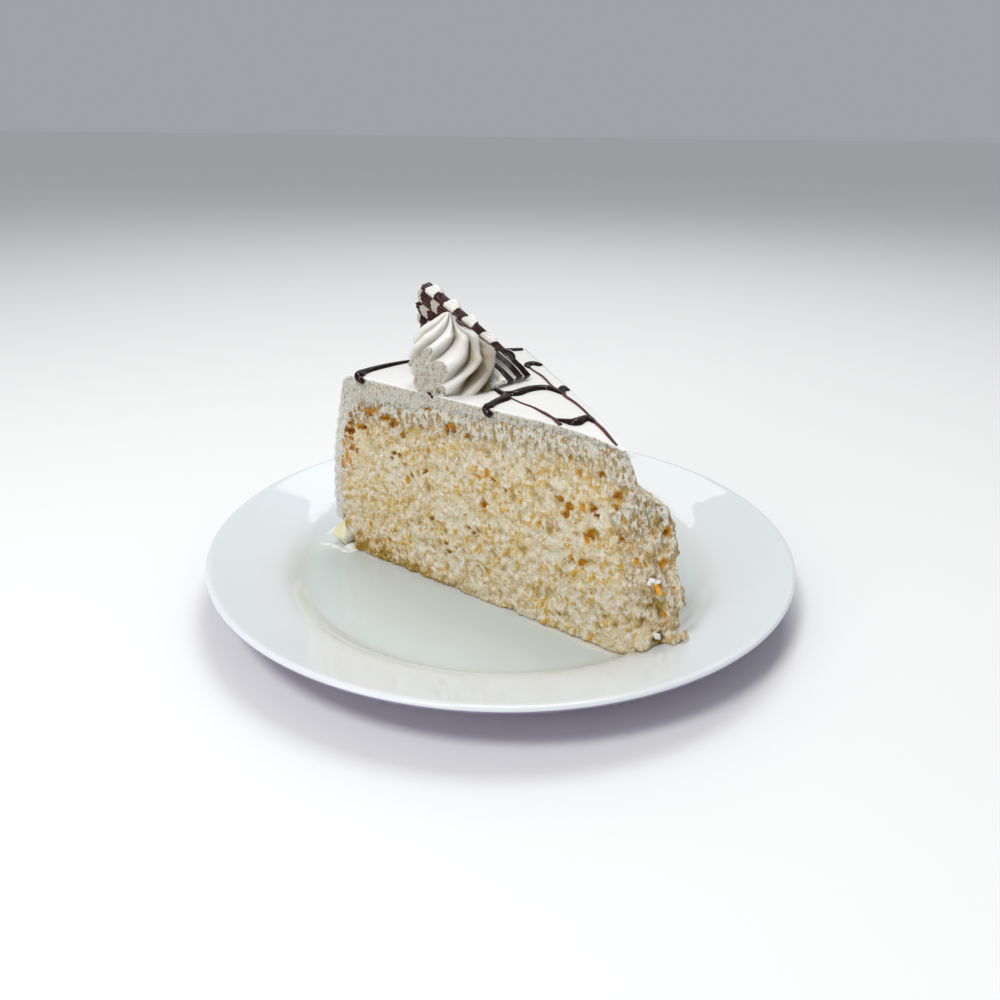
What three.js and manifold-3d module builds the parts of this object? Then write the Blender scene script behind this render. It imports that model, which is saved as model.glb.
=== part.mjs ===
// A slice of milk-soaked sponge cake on its round plate, in millimetres, +Z up.
// The origin is the middle of the plate's foot, and the slice's point faces -Y.
import * as THREE from 'three';
import { mergeVertices } from 'three/addons/utils/BufferGeometryUtils.js';
import Module from 'manifold-3d';

// Driving dimensions, in millimetres and degrees
const GAP = 0.3; // clearance between two pieces that touch
const SLIVER = 0.02; // thinner triangles than this, left by a cut, are dropped

const PLATE_RADIUS = 115;
const PLATE_RIM_HEIGHT = 20;
const PLATE_FLOOR = 5; // height of the well's floor
const WELL_RADIUS = 76;
const VERGE_RADIUS = 86; // where the well's wall turns into the rim
const VERGE_HEIGHT = 11.4;
const LIP_THICKNESS = 3.1;
const FOOT_RADIUS = 64;
const FOOT_WIDTH = 5;
const UNDERSIDE_HEIGHT = 1.8; // recess inside the foot ring
const PLATE_SIDES = 64;

const AXIS_X = 36.9; // the round cake's centre, which is the slice's point
const AXIS_Y = -62.9;
const NEAR_ANGLE = 143.3; // direction of the near cut, seen from the point
const FAR_ANGLE = 103.1;
const CAKE_TOP = 82;
const CAKE_BOTTOM = 3; // below the well's floor, and cut off by the plate
const CAKE_RADIUS = 133.7; // at the belly, a third of the way up
const BELLY_HEIGHT = 30;
const BELLY_CURVE = 1.6;
const TOP_DRAW_IN = 10.2; // how much narrower the cake is at its top
const TOP_CORNER = 4;
const SPONGE_FOOT_RADIUS = 123;
const ICING_FOOT = 15.5; // lower edge of the icing on the back wall
const WALL_ICING = 4.8;
const WALL_ICING_MORE = 2.3; // added towards the top, between the two heights
const WALL_ICING_RISE = [54, 70];
const POINT_ICING = 2.9; // depth of the top icing at the point
const TOP_ICING_RISES = [
  [0, 62, 2.5], // from this radius to that one, the top icing gets so much deeper
  [76, 96, 3.9],
  [104, 118, 1.6],
];
const TIP_DROOP = 2.9; // the icing sinks this much at the point
const TIP_DROOP_LENGTH = 26;
const FOOT_REACH = 15.5; // the cake's foot runs this far past its point
const REACH_CURVE = 1.6;
const POINT_WIDTH = 0.8; // the point isn't sharp
const LEDGE_WIDTH = 10.5; // broken end face under the point
const LEDGE_RISE = [58, 67]; // the face narrows to the point between these heights
const LEDGE_TURN = 0.16;
const FAR_FLARE = 7; // the far cut leans out this much at its foot

const CRUMB = 0.85; // relief of the cut sponge
const CRUMB_CELL = 4.3;
const CRAG = 1.6; // relief of the broken end
const CRAG_CELL = 7;
const SOFT_CRAG = 0.25; // relief up at the thin point
const ICING_RELIEF = 0.12;
const BULK = [0.6, 7]; // relief grows with the slice's width between these two
const PIT_COUNT = 34;
const PIT_RADIUS = 5;
const PIT_DEPTH = 2;
const PIT_REACH = [8, 120]; // where the pits lie, along the cut and upwards
const PIT_HEIGHTS = [12, 70];
const GOLDEN = [0.618034, 0.754878]; // steps that spread points evenly over a face
const CELLS_LONG = 31; // mesh cells from point to back, across and up
const CELLS_ACROSS = 9;
const CELLS_UP = 19;
const CELLS_CROWDING = 0.65; // share by which the cells are lower near the top
const CORE_SIDES = 60;

const ROSETTE_X = -17.6;
const ROSETTE_Y = -4.8;
const ROSETTE_RADIUS = 16.8;
const ROSETTE_HEIGHT = 27;
const ROSETTE_LOBES = 8;
const ROSETTE_TWIST = 150; // turn of the lobes from foot to peak
const ROSETTE_LEAN = 2.6; // the peak sits this far off centre
const ROSETTE_GROOVE = 0.83; // radius in a groove, as a share of the full one
const ROSETTE_CREST = 0.18;
const ROSETTE_SHARPNESS = 0.7;
const ROSETTE_LEVELS = 15;
const POINTS_PER_LOBE = 6;

const FAN_FOOT_BACK = [10.8, 4.7]; // ends of the edge that stands on the icing
const FAN_FOOT_FRONT = [-3.9, -11.3];
const FAN_TOP = [-29.5, 27, 31]; // upper corner, with its height over the icing
const FAN_LOW = [-31, 27, 9];
const FAN_SHEET = 3.4; // thickness of the ruffled sheet
const FAN_PLEATS = 4;
const FAN_PLEAT_DEPTH = 0.9;
const FAN_STRIPES = 5; // dark and white pairs along the sheet
const FAN_LOBE = 1.4; // the white ones stand out over the upper edge
const FAN_BOW = 1.5;
const FAN_EDGE_THINNING = 0.45;
const FAN_CELLS = [20, 12];

const BEAD_COUNT = 11;
const BEAD_RING_RADIUS = 130.3;
const BEAD_RADIUS = 6;
const BEAD_WIDTH = 5.6; // along the row
const BEAD_HEIGHT = 5.1;
const BEAD_SINK = 0.3; // flattened by the plate
const BEAD_UNEVEN = 0.06;

const THICK_LINE = 2.6; // width of the sauce rings
const THIN_LINE = 1.5;
const LINE_FLATNESS = 0.36; // half height of a line, as a share of its width
const LINE_LIFT = 0.06; // its middle over the icing, as a share of its width
const LINE_STEP = 4;

const degrees = THREE.MathUtils.degToRad;
const smooth = THREE.MathUtils.smoothstep;
const mix = THREE.MathUtils.lerp;

const wasm = await Module();
wasm.setup();

// A closed geometry as a solid that can be cut and joined, and back
function solid(geometry) {
  const bare = geometry.clone();
  bare.deleteAttribute('normal');
  bare.deleteAttribute('uv');
  const merged = mergeVertices(bare, 1e-4);
  const mesh = new wasm.Mesh({
    numProp: 3,
    vertProperties: new Float32Array(merged.attributes.position.array),
    triVerts: new Uint32Array(merged.index.array),
  });
  return new wasm.Manifold(mesh);
}

function geometryOf(body) {
  const mesh = body.simplify(SLIVER).getMesh();
  const geometry = new THREE.BufferGeometry();
  const places = new THREE.BufferAttribute(new Float32Array(mesh.vertProperties), 3);
  geometry.setAttribute('position', places);
  geometry.setIndex(new THREE.BufferAttribute(new Uint32Array(mesh.triVerts), 1));
  geometry.computeVertexNormals();
  return geometry;
}

// The largest piece of a solid, without the scraps that a cut leaves
function largest(body) {
  const pieces = body.decompose();
  pieces.sort((a, b) => b.volume() - a.volume());
  return pieces[0];
}

// A full turn of a profile of [radius, height] points about the +Z axis
function turned(profile, sides) {
  const points = profile.map(([r, z]) => new THREE.Vector2(r, z));
  return new THREE.LatheGeometry(points, sides).rotateX(Math.PI / 2);
}

// Repeatable noise from -1 to 1, with soft bumps about one cell wide
function chance(i, j, k) {
  const s = Math.sin(i * 127.1 + j * 311.7 + k * 74.7) * 43758.5453;
  return s - Math.floor(s);
}

function bumps(x, y, z, cell) {
  const at = [x / cell, y / cell, z / cell];
  const [i, j, k] = at.map(Math.floor);
  const [fx, fy, fz] = at.map((a) => smooth(a - Math.floor(a), 0, 1));
  const row = (dj, dk) => mix(chance(i, j + dj, k + dk), chance(i + 1, j + dj, k + dk), fx);
  const sheet = (dk) => mix(row(0, dk), row(1, dk), fy);
  return 2 * mix(sheet(0), sheet(1), fz) - 1;
}

// The plate: a thrown porcelain form with a foot ring, a flat well and a wide rim
const plateTop = [
  [0, PLATE_FLOOR],
  [WELL_RADIUS, PLATE_FLOOR],
  [WELL_RADIUS + 3, PLATE_FLOOR + 0.8],
  [WELL_RADIUS + 6.5, PLATE_FLOOR + 3.3],
  [VERGE_RADIUS, VERGE_HEIGHT],
  [VERGE_RADIUS + 12, VERGE_HEIGHT + 3.9],
  [PLATE_RADIUS - 2.4, PLATE_RIM_HEIGHT - 0.3],
  [PLATE_RADIUS - 1.2, PLATE_RIM_HEIGHT],
];

function plate() {
  const footIn = FOOT_RADIUS - FOOT_WIDTH / 2;
  const footOut = FOOT_RADIUS + FOOT_WIDTH / 2;
  const edge = PLATE_RIM_HEIGHT - LIP_THICKNESS;
  const profile = [
    [0, UNDERSIDE_HEIGHT],
    [footIn - 1.5, UNDERSIDE_HEIGHT],
    [footIn, 0],
    [footOut, 0],
    [footOut + 1.5, UNDERSIDE_HEIGHT - 0.2],
    [VERGE_RADIUS - 8, 2.6],
    [VERGE_RADIUS + 2, 8.2],
    [PLATE_RADIUS - 1.5, edge - 0.4],
    [PLATE_RADIUS, edge + 0.6],
    [PLATE_RADIUS, PLATE_RIM_HEIGHT - 1],
    ...plateTop.slice().reverse(),
  ];
  return turned(profile, PLATE_SIDES);
}

// Everything below the plate's upper face, with the clearance added
function plateCutter() {
  const raised = plateTop.map(([r, z]) => [r, z + GAP]);
  const top = raised[raised.length - 1][1];
  const outside = PLATE_RADIUS + 40;
  const under = -20;
  const profile = [[0, under], [outside, under], [outside, top], ...raised.reverse()];
  return solid(turned(profile, PLATE_SIDES));
}

// The round cake that the slice comes from, about its own axis
function outerRadius(z) {
  const rise = Math.max(z - BELLY_HEIGHT, 0) / (CAKE_TOP - BELLY_HEIGHT);
  const belly = CAKE_RADIUS - TOP_DRAW_IN * Math.pow(rise, BELLY_CURVE);
  const tuck = smooth(z, ICING_FOOT - 2, ICING_FOOT + 3);
  const down = CAKE_TOP - z;
  const side = Math.max(TOP_CORNER - Math.max(down, 0), 0);
  const corner = TOP_CORNER - Math.sqrt(TOP_CORNER ** 2 - side ** 2);
  return mix(SPONGE_FOOT_RADIUS, belly, tuck) - corner;
}

function topHeight(r) {
  const near = Math.max(1 - r / TIP_DROOP_LENGTH, 0);
  return CAKE_TOP - TIP_DROOP * near ** 2;
}

// Icing is thin at the point, thicker outwards and thickest over the back edge
function topIcing(r) {
  const rises = TOP_ICING_RISES.map(([from, to, more]) => more * smooth(r, from, to));
  return rises.reduce((sum, more) => sum + more, POINT_ICING);
}

function wallIcing(z) {
  return WALL_ICING + WALL_ICING_MORE * smooth(z, ...WALL_ICING_RISE);
}

// The sponge's share of the cake: below the top icing and inside the wall icing
function spongeCore(gap) {
  const outside = CAKE_RADIUS + 26;
  const under = -20;
  const profile = [[0, under], [outside, under], [outside, ICING_FOOT + gap]];
  const wallTop = CAKE_TOP - topIcing(CAKE_RADIUS) - 2;
  const aboveTuck = ICING_FOOT + 6.5;
  const wallSteps = 8;
  for (let i = 0; i <= wallSteps; i++) {
    const z = mix(ICING_FOOT, wallTop, i / wallSteps) + gap;
    profile.push([outerRadius(mix(aboveTuck, wallTop, i / wallSteps)) - wallIcing(z) + gap, z]);
  }
  for (const r of [117, 104, 96, 90, 84, 76, 62, 44, 26, 12, 0]) {
    profile.push([r, topHeight(r) - topIcing(r) + gap]);
  }
  return solid(turned(profile, CORE_SIDES).translate(AXIS_X, AXIS_Y, 0));
}

function polar(r, angle, z) {
  const a = degrees(angle);
  return new THREE.Vector3(AXIS_X + r * Math.cos(a), AXIS_Y + r * Math.sin(a), z);
}

const outwards = polar(1, NEAR_ANGLE, 0).sub(polar(0, 0, 0));
const nearNormal = new THREE.Vector3(-outwards.y, outwards.x, 0);
const farNormal = polar(1, FAR_ANGLE - 90, 0).sub(polar(0, 0, 0));
const tipNormal = new THREE.Vector3(0.72, -0.68, 0.12).normalize();

// How far the foot runs on past the point, and how wide the broken end is
function footReach(z) {
  return FOOT_REACH * (1 - Math.pow(z / (CAKE_TOP - 2), REACH_CURVE));
}

function ledge(z) {
  return POINT_WIDTH + LEDGE_WIDTH * (1 - smooth(z, ...LEDGE_RISE)) + z * 0.002;
}

// Open holes in the cut face, spread by the golden ratio
function pits(r, z) {
  let depth = 0;
  for (let n = 1; n <= PIT_COUNT; n++) {
    const pitR = mix(...PIT_REACH, (n * GOLDEN[0]) % 1);
    const pitZ = mix(...PIT_HEIGHTS, (n * GOLDEN[1]) % 1);
    const far = Math.hypot(r - pitR, z - pitZ) / PIT_RADIUS;
    depth = Math.max(depth, 1 - far * far);
  }
  return PIT_DEPTH * depth;
}

// The whole slice: a block of cells, bent to the wedge, with crumb on its cut faces.
// u runs from the point to the back, v from the near cut to the far one, w upwards.
function slicePoint(u, v, w) {
  const down = 1 - w;
  const height = CAKE_TOP - CAKE_BOTTOM;
  const levelZ = CAKE_TOP - height * down * mix(1, down, CELLS_CROWDING);
  const radius = outerRadius(levelZ);
  const z = levelZ - (CAKE_TOP - topHeight(u * radius)) * smooth(w, 0.5, 1);
  const sag = 1 - smooth(levelZ, 0, CAKE_TOP);
  const farAngle = FAR_ANGLE - THREE.MathUtils.radToDeg(FAR_FLARE / radius) * sag;
  const nearTip = polar(-footReach(levelZ), NEAR_ANGLE, z);
  const farTip = nearTip.clone();
  farTip.x += ledge(levelZ);
  farTip.y += LEDGE_TURN * ledge(levelZ);
  const tip = nearTip.lerp(farTip, v);
  const back = polar(radius, mix(NEAR_ANGLE, farAngle, v), z);
  const at = tip.lerp(back, u);
  const icingFoot = CAKE_TOP - topIcing(u * radius);
  const inIcing = smooth(z, icingFoot - 2, icingFoot + 1);
  const width = ledge(levelZ) + u * radius * degrees(NEAR_ANGLE - FAR_ANGLE);
  const bulk = smooth(width, ...BULK);
  const crumb = mix(CRUMB, ICING_RELIEF, inIcing) * bulk * bumps(at.x, at.y, z, CRUMB_CELL);
  const hole = v === 0 ? pits(u * radius, z) * bulk * (1 - inIcing) : 0;
  if (v === 0) at.addScaledVector(nearNormal, crumb - hole);
  if (v === 1) at.addScaledVector(farNormal, crumb);
  const crag = mix(SOFT_CRAG, CRAG, bulk) * bumps(at.x + 40, at.y, z, CRAG_CELL);
  if (u === 0) at.addScaledVector(tipNormal, crag);
  return at;
}

function slice() {
  const block = new THREE.BoxGeometry(1, 1, 1, CELLS_LONG, CELLS_ACROSS, CELLS_UP);
  const places = block.attributes.position;
  for (let i = 0; i < places.count; i++) {
    const u = Math.round((places.getX(i) + 0.5) * CELLS_LONG) / CELLS_LONG;
    const v = Math.round((0.5 - places.getY(i)) * CELLS_ACROSS) / CELLS_ACROSS;
    const w = Math.round((places.getZ(i) + 0.5) * CELLS_UP) / CELLS_UP;
    const at = slicePoint(u, v, w);
    places.setXYZ(i, at.x, at.y, at.z);
  }
  return solid(block);
}

// A line of chocolate sauce along [radius, angle] points, half sunk in the icing
function sauceLine(route, width) {
  const points = route.map(([r, angle]) => polar(r, angle, topHeight(r) + width * LINE_LIFT));
  const path = new THREE.CatmullRomCurve3(points);
  const steps = Math.ceil(path.getLength() / LINE_STEP);
  const section = new THREE.Shape();
  section.absellipse(0, 0, width * LINE_FLATNESS, width / 2, 0, Math.PI * 2);
  const line = { steps, curveSegments: 3, bevelEnabled: false, extrudePath: path };
  return solid(new THREE.ExtrudeGeometry(section, line));
}

// Rings about the cake's centre, broken where the rosette and the fan stand,
// and the lines dragged through them towards the point
const thickLines = [
  [[118, 142.9], [118.6, 138], [118.8, 133.5], [118.6, 129.6]],
  [[117.5, 121], [118, 115], [118, 109], [117.6, 104]],
  [
    [49, 144.6], [52.7, 142.2], [56, 136.5], [56.8, 130],
    [56, 125.8], [59.5, 118.3], [61.8, 111.5], [60, 107],
  ],
  [[22.6, 141.5], [25, 136.5], [22.4, 131], [20.9, 125], [22.4, 115], [23.2, 106]],
  [[92.5, 108], [95.8, 106.8], [98.3, 105.2]],
];
const thinLines = [
  [[56.6, 128], [49.3, 128.6], [41.5, 129.8], [35.5, 129.8], [27.5, 131.6], [22.6, 133.5]],
  [[60.2, 107.4], [50.3, 106.2], [36.9, 105.9], [25.7, 106.4], [16, 107.5], [8, 112]],
];

function sponge() {
  return geometryOf(largest(cake.intersect(spongeCore(0)).subtract(table)));
}

function icing() {
  let body = cake.subtract(spongeCore(GAP));
  for (const route of thickLines) body = body.add(sauceLine(route, THICK_LINE));
  for (const route of thinLines) body = body.add(sauceLine(route, THIN_LINE));
  return geometryOf(largest(body.subtract(table)));
}

// A block that takes away what stands in front of the near cut
function nearCutter() {
  const size = 300;
  const middle = polar(CAKE_RADIUS / 2, NEAR_ANGLE, 0).addScaledVector(nearNormal, size / 2);
  const block = new THREE.BoxGeometry(size, size, size);
  return solid(block.rotateZ(degrees(NEAR_ANGLE)).translate(middle.x, middle.y, 100));
}

// A stack of rings of points, closed by a point at each end
function lofted(rings, bottom, top) {
  const places = [bottom, ...rings.flat(), top].flatMap((p) => [p.x, p.y, p.z]);
  const sides = rings[0].length;
  const last = rings.length * sides + 1;
  const faces = [];
  const at = (ring, side) => 1 + ring * sides + (side % sides);
  for (let s = 0; s < sides; s++) {
    faces.push(0, at(0, s + 1), at(0, s));
    faces.push(last, at(rings.length - 1, s), at(rings.length - 1, s + 1));
    for (let r = 0; r + 1 < rings.length; r++) {
      faces.push(at(r, s), at(r, s + 1), at(r + 1, s + 1));
      faces.push(at(r, s), at(r + 1, s + 1), at(r + 1, s));
    }
  }
  const geometry = new THREE.BufferGeometry();
  geometry.setAttribute('position', new THREE.Float32BufferAttribute(places, 3));
  geometry.setIndex(faces);
  return geometry;
}

// Whipped cream piped through a star nozzle: twisted lobes that rise to a peak
function rosetteRadius(h) {
  const foot = 0.92 + 0.08 * smooth(h, 0, 0.15);
  const waist = 1 - 0.07 * Math.exp(-(((h - 0.42) / 0.08) ** 2));
  const peak = Math.pow(Math.min((1 - h) / 0.45, 1), 0.78);
  return ROSETTE_RADIUS * foot * waist * peak;
}

function swirl(grow) {
  const sides = ROSETTE_LOBES * POINTS_PER_LOBE;
  const base = CAKE_TOP + GAP;
  const rings = [];
  for (let level = 0; level < ROSETTE_LEVELS; level++) {
    const h = Math.sin((Math.PI / 2) * (level / ROSETTE_LEVELS));
    const lean = degrees(-20 + 200 * h);
    const ring = [];
    for (let s = 0; s < sides; s++) {
      const turn = (s / sides) * Math.PI * 2;
      const lobe = Math.abs(Math.cos((turn * ROSETTE_LOBES) / 2));
      const share = ROSETTE_GROOVE + ROSETTE_CREST * Math.pow(lobe, ROSETTE_SHARPNESS);
      const r = rosetteRadius(h) * share + grow;
      const angle = turn + degrees(ROSETTE_TWIST) * h;
      const x = ROSETTE_X + r * Math.cos(angle) + ROSETTE_LEAN * h * Math.cos(lean);
      const y = ROSETTE_Y + r * Math.sin(angle) + ROSETTE_LEAN * h * Math.sin(lean);
      ring.push(new THREE.Vector3(x, y, base + ROSETTE_HEIGHT * h));
    }
    rings.push(ring);
  }
  const bottom = new THREE.Vector3(ROSETTE_X, ROSETTE_Y, base - grow);
  const top = new THREE.Vector3(ROSETTE_X - ROSETTE_LEAN, ROSETTE_Y, base + ROSETTE_HEIGHT + grow);
  return lofted(rings, bottom, top);
}

function rosette() {
  return geometryOf(largest(solid(swirl(0)).subtract(nearCutter())));
}

// The rosette's round outer form with the clearance added, which the fan leans on
function rosetteRoom() {
  const base = CAKE_TOP - GAP;
  const crest = ROSETTE_GROOVE + ROSETTE_CREST;
  const profile = [[0, base]];
  for (let level = 0; level < ROSETTE_LEVELS; level++) {
    const h = level / ROSETTE_LEVELS;
    profile.push([rosetteRadius(h) * crest + GAP + ROSETTE_LEAN * h, base + ROSETTE_HEIGHT * h]);
  }
  profile.push([0, base + ROSETTE_HEIGHT + 3 * GAP]);
  return solid(turned(profile, ROSETTE_LOBES * 3).translate(ROSETTE_X, ROSETTE_Y, 0));
}

// Striped chocolate scraped into a ruffled sheet. It stands on one end, leans on the
// rosette and twists on its way up. s runs along the ribs, q from the low to the top edge.
function fanSheet(s, q) {
  const onIcing = ([x, y, rise = 0]) => new THREE.Vector3(x, y, CAKE_TOP + FAN_SHEET / 2 + rise);
  const high = onIcing(FAN_FOOT_BACK).lerp(onIcing(FAN_TOP), s);
  const low = onIcing(FAN_FOOT_FRONT).lerp(onIcing(FAN_LOW), s);
  const lobe = Math.abs(Math.sin(Math.PI * (s * FAN_STRIPES + 0.5)));
  high.z += FAN_BOW * Math.sin(Math.PI * s);
  const upwards = high.clone().sub(low).normalize();
  return low.lerp(high, q).addScaledVector(upwards, q * FAN_LOBE * lobe);
}

function fan() {
  const [along, across] = FAN_CELLS;
  const step = 0.02;
  const block = new THREE.BoxGeometry(1, 1, 1, along, across, 1);
  const places = block.attributes.position;
  for (let i = 0; i < places.count; i++) {
    const s = Math.round((places.getX(i) + 0.5) * along) / along;
    const q = Math.round((places.getY(i) + 0.5) * across) / across;
    const side = Math.sign(places.getZ(i));
    const at = fanSheet(s, q);
    const lengthwise = fanSheet(s + step, q).sub(fanSheet(s - step, q));
    const crosswise = fanSheet(s, q + step).sub(fanSheet(s, q - step));
    const normal = lengthwise.cross(crosswise).normalize();
    const wave = FAN_PLEAT_DEPTH * Math.sin(q * FAN_PLEATS * Math.PI * 2);
    const thin = 1 - FAN_EDGE_THINNING * Math.abs(2 * q - 1) ** 3;
    at.addScaledVector(normal, wave + side * (FAN_SHEET / 2) * thin);
    places.setXYZ(i, at.x, at.y, at.z);
  }
  const under = new THREE.BoxGeometry(300, 300, 100).translate(0, 0, CAKE_TOP + GAP - 50);
  const sheet = solid(block).subtract(solid(under)).subtract(rosetteRoom());
  return geometryOf(largest(sheet));
}

// A row of piped cream beads on the plate along the foot of the back wall
function footBorder() {
  const half = THREE.MathUtils.radToDeg(BEAD_WIDTH / BEAD_RING_RADIUS);
  const first = NEAR_ANGLE - half * 0.3;
  const last = FAR_ANGLE - half * 0.8;
  let row = null;
  for (let n = 0; n < BEAD_COUNT; n++) {
    const angle = mix(first, last, n / (BEAD_COUNT - 1));
    const size = 1 + BEAD_UNEVEN * Math.sin(n * 2.3);
    const bead = new THREE.SphereGeometry(1, 8, 6).rotateX(Math.PI / 2);
    bead.scale(BEAD_RADIUS, BEAD_WIDTH * size, BEAD_HEIGHT).rotateZ(degrees(angle));
    const at = polar(BEAD_RING_RADIUS, angle, PLATE_FLOOR + BEAD_HEIGHT - BEAD_SINK);
    const body = solid(bead.translate(at.x, at.y, at.z));
    row = row ? row.add(body) : body;
  }
  const foot = SPONGE_FOOT_RADIUS + 2 * GAP;
  const wall = CAKE_RADIUS + GAP;
  const under = -20;
  const over = 40;
  const tuck = [[foot, ICING_FOOT - 7], [wall, ICING_FOOT + 1.5]];
  const profile = [[0, under], [foot, under], ...tuck, [wall, over], [0, over]];
  const backWall = solid(turned(profile, CORE_SIDES).translate(AXIS_X, AXIS_Y, 0));
  return geometryOf(largest(row.subtract(table).subtract(backWall)));
}

const table = plateCutter();
const cake = slice();

const finishes = {
  porcelain: { color: 0xdfe4e0, roughness: 0.12, metalness: 0 },
  crumb: { color: 0xd9ccb0, roughness: 0.85, metalness: 0 },
  cream: { color: 0xf1f0ea, roughness: 0.5, metalness: 0 },
  chocolate: { color: 0x2a1510, roughness: 0.35, metalness: 0 },
};

const pieces = [
  ['plate', plate(), finishes.porcelain],
  ['sponge', sponge(), finishes.crumb],
  ['icing', icing(), finishes.cream],
  ['rosette', rosette(), finishes.cream],
  ['chocolate_fan', fan(), finishes.chocolate],
  ['foot_border', footBorder(), finishes.cream],
];

const object = new THREE.Group();
for (const [name, geometry, finish] of pieces) {
  const mesh = new THREE.Mesh(geometry, new THREE.MeshStandardMaterial(finish));
  mesh.name = name;
  object.add(mesh);
}

export default object;
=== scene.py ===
# A slice of milk-soaked sponge cake with whipped cream and chocolate, on its plate
import math

import bmesh
import bpy
import numpy as np
from mathutils import Matrix, Vector, noise


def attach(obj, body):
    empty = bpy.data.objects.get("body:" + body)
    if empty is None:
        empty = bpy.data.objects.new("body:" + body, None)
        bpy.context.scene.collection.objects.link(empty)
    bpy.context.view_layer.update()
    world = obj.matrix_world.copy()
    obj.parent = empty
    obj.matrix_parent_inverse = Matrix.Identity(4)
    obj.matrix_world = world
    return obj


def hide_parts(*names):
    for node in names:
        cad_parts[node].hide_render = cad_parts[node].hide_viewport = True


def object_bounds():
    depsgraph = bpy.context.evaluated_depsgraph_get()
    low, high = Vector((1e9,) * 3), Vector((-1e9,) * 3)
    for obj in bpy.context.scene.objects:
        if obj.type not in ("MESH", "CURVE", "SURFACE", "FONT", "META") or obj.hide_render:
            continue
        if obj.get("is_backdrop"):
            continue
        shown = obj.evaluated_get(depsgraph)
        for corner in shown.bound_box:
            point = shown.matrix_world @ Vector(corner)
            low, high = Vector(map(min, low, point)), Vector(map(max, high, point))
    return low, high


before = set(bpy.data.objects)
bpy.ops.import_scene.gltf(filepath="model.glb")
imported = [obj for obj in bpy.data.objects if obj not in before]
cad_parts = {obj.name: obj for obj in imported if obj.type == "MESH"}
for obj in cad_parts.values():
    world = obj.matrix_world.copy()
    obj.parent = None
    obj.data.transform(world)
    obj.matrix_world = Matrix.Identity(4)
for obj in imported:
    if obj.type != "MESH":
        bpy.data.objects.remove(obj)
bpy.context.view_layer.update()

# Plate
# Glazed porcelain with a wide rim, turned on a wheel, so it is a full turn of one profile.
# It stands on a narrow ring under the well, where the glaze is wiped off before firing.
GLAZE_WHITE = "E8ECEE"
GLAZE_SHADE = "E2E7E8"
GLAZE_WELL_SHADE = "D3DBDA"
LIP_REFLECTION_PURPLE = "7E6E96"
BARE_CLAY = "E2DCCD"
PLATE_STEPS = 96
PLATE_FLOOR = 5.0
plate_face = [
    (0, 5), (20, 5), (50, 5), (70, 5), (74.5, 5.0), (77, 5.2), (79.5, 6.0), (82.5, 8.3), (86, 11.2),
    (91, 13.3), (98, 15.3), (106, 17.7), (111.5, 19.4), (113.2, 19.95), (114.4, 19.9), (115, 19.2),
]
plate_back = [
    (115, 18.0), (113.8, 17.0), (106, 14.2), (96, 11.0), (88, 8.2), (82, 4.6), (78, 2.6), (72, 1.9),
    (68.2, 1.5), (67, 0.5), (66.2, 0), (64, 0), (61.8, 0), (61, 0.6), (59.8, 1.7), (40, 1.8), (0, 1.8),
]


def linear(colour):
    shares = [int(colour[i:i + 2], 16) / 255 for i in (0, 2, 4)]
    return (*[c / 12.92 if c <= 0.04045 else ((c + 0.055) / 1.055) ** 2.4 for c in shares], 1)


def add_node(tree, kind, inputs=None, **settings):
    """A node given as an input stands for its first output. MapRange turns the range 1 to 2 into
    3 to 4, or into 0 to 1. Mix gives the colours 6 and 7, mixed, as output 2."""
    made = tree.nodes.new("ShaderNode" + kind)
    for name, value in settings.items():
        setattr(made, name, value)
    for name, value in (inputs or {}).items():
        if isinstance(value, bpy.types.Node):
            value = value.outputs[0]
        if isinstance(value, bpy.types.NodeSocket):
            tree.links.new(value, made.inputs[name])
        else:
            made.inputs[name].default_value = value
    return made


def new_finish(name, **surface):
    finish = bpy.data.materials.new(name)
    finish.use_nodes = True
    shader = finish.node_tree.nodes["Principled BSDF"]
    for socket, value in surface.items():
        shader.inputs[socket.replace("_", " ")].default_value = value
    return finish, finish.node_tree, shader


def as_piece(bm, name, finish, slot, *nodes):
    bmesh.ops.remove_doubles(bm, verts=bm.verts, dist=1e-7)
    bmesh.ops.recalc_face_normals(bm, faces=bm.faces)
    for face in bm.faces:
        face.smooth = True
    mesh = bpy.data.meshes.new(name)
    bm.to_mesh(mesh)
    bm.free()
    piece = bpy.data.objects.new(name, mesh)
    bpy.context.scene.collection.objects.link(piece)
    piece.data.materials.append(finish)
    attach(piece, "root")
    if nodes:
        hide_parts(*nodes)
    return piece


# Glaze over white porcelain: a clear glassy coat, with a faint ripple where it ran
porcelain, tree, shader = new_finish("glazed_porcelain", IOR=1.6)
place = add_node(tree, "TexCoord").outputs["Object"]
pooled = add_node(tree, "TexNoise", {"Vector": place, "Scale": 22.0, "Detail": 2.0})
height = add_node(tree, "SeparateXYZ", {"Vector": place}).outputs["Z"]
bare = add_node(tree, "MapRange", {"Value": height, 1: 0.0006, 2: 0.0002})
# The well is painted darker and greener than the rim: painted shade, for the shadow the slice casts into it
level = add_node(tree, "VectorMath", {0: place, 1: (1.0, 1.0, 0.0)}, operation="MULTIPLY")
from_axis = add_node(tree, "VectorMath", {0: level}, operation="LENGTH")
well = add_node(tree, "MapRange", {"Value": from_axis.outputs["Value"], 1: 0.084, 2: 0.076})
# Faces that turn down, under the lip, are painted purple-grey: a painted reflection of the dark surroundings below
facing = add_node(tree, "SeparateXYZ", {"Vector": add_node(tree, "NewGeometry").outputs["Normal"]})
turned = add_node(tree, "MapRange", {"Value": facing.outputs["Z"], 1: 0.15, 2: -0.25})
glaze = linear(GLAZE_WHITE)
for share, tone in ((pooled, GLAZE_SHADE), (well, GLAZE_WELL_SHADE), (bare, BARE_CLAY), (turned, LIP_REFLECTION_PURPLE)):
    glaze = add_node(tree, "Mix", {"Factor": share, 6: glaze, 7: linear(tone)}, data_type="RGBA").outputs[2]
tree.links.new(glaze, shader.inputs["Base Color"])
film = add_node(tree, "TexNoise", {"Vector": place, "Scale": 60.0, "Detail": 3.0})
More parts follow.
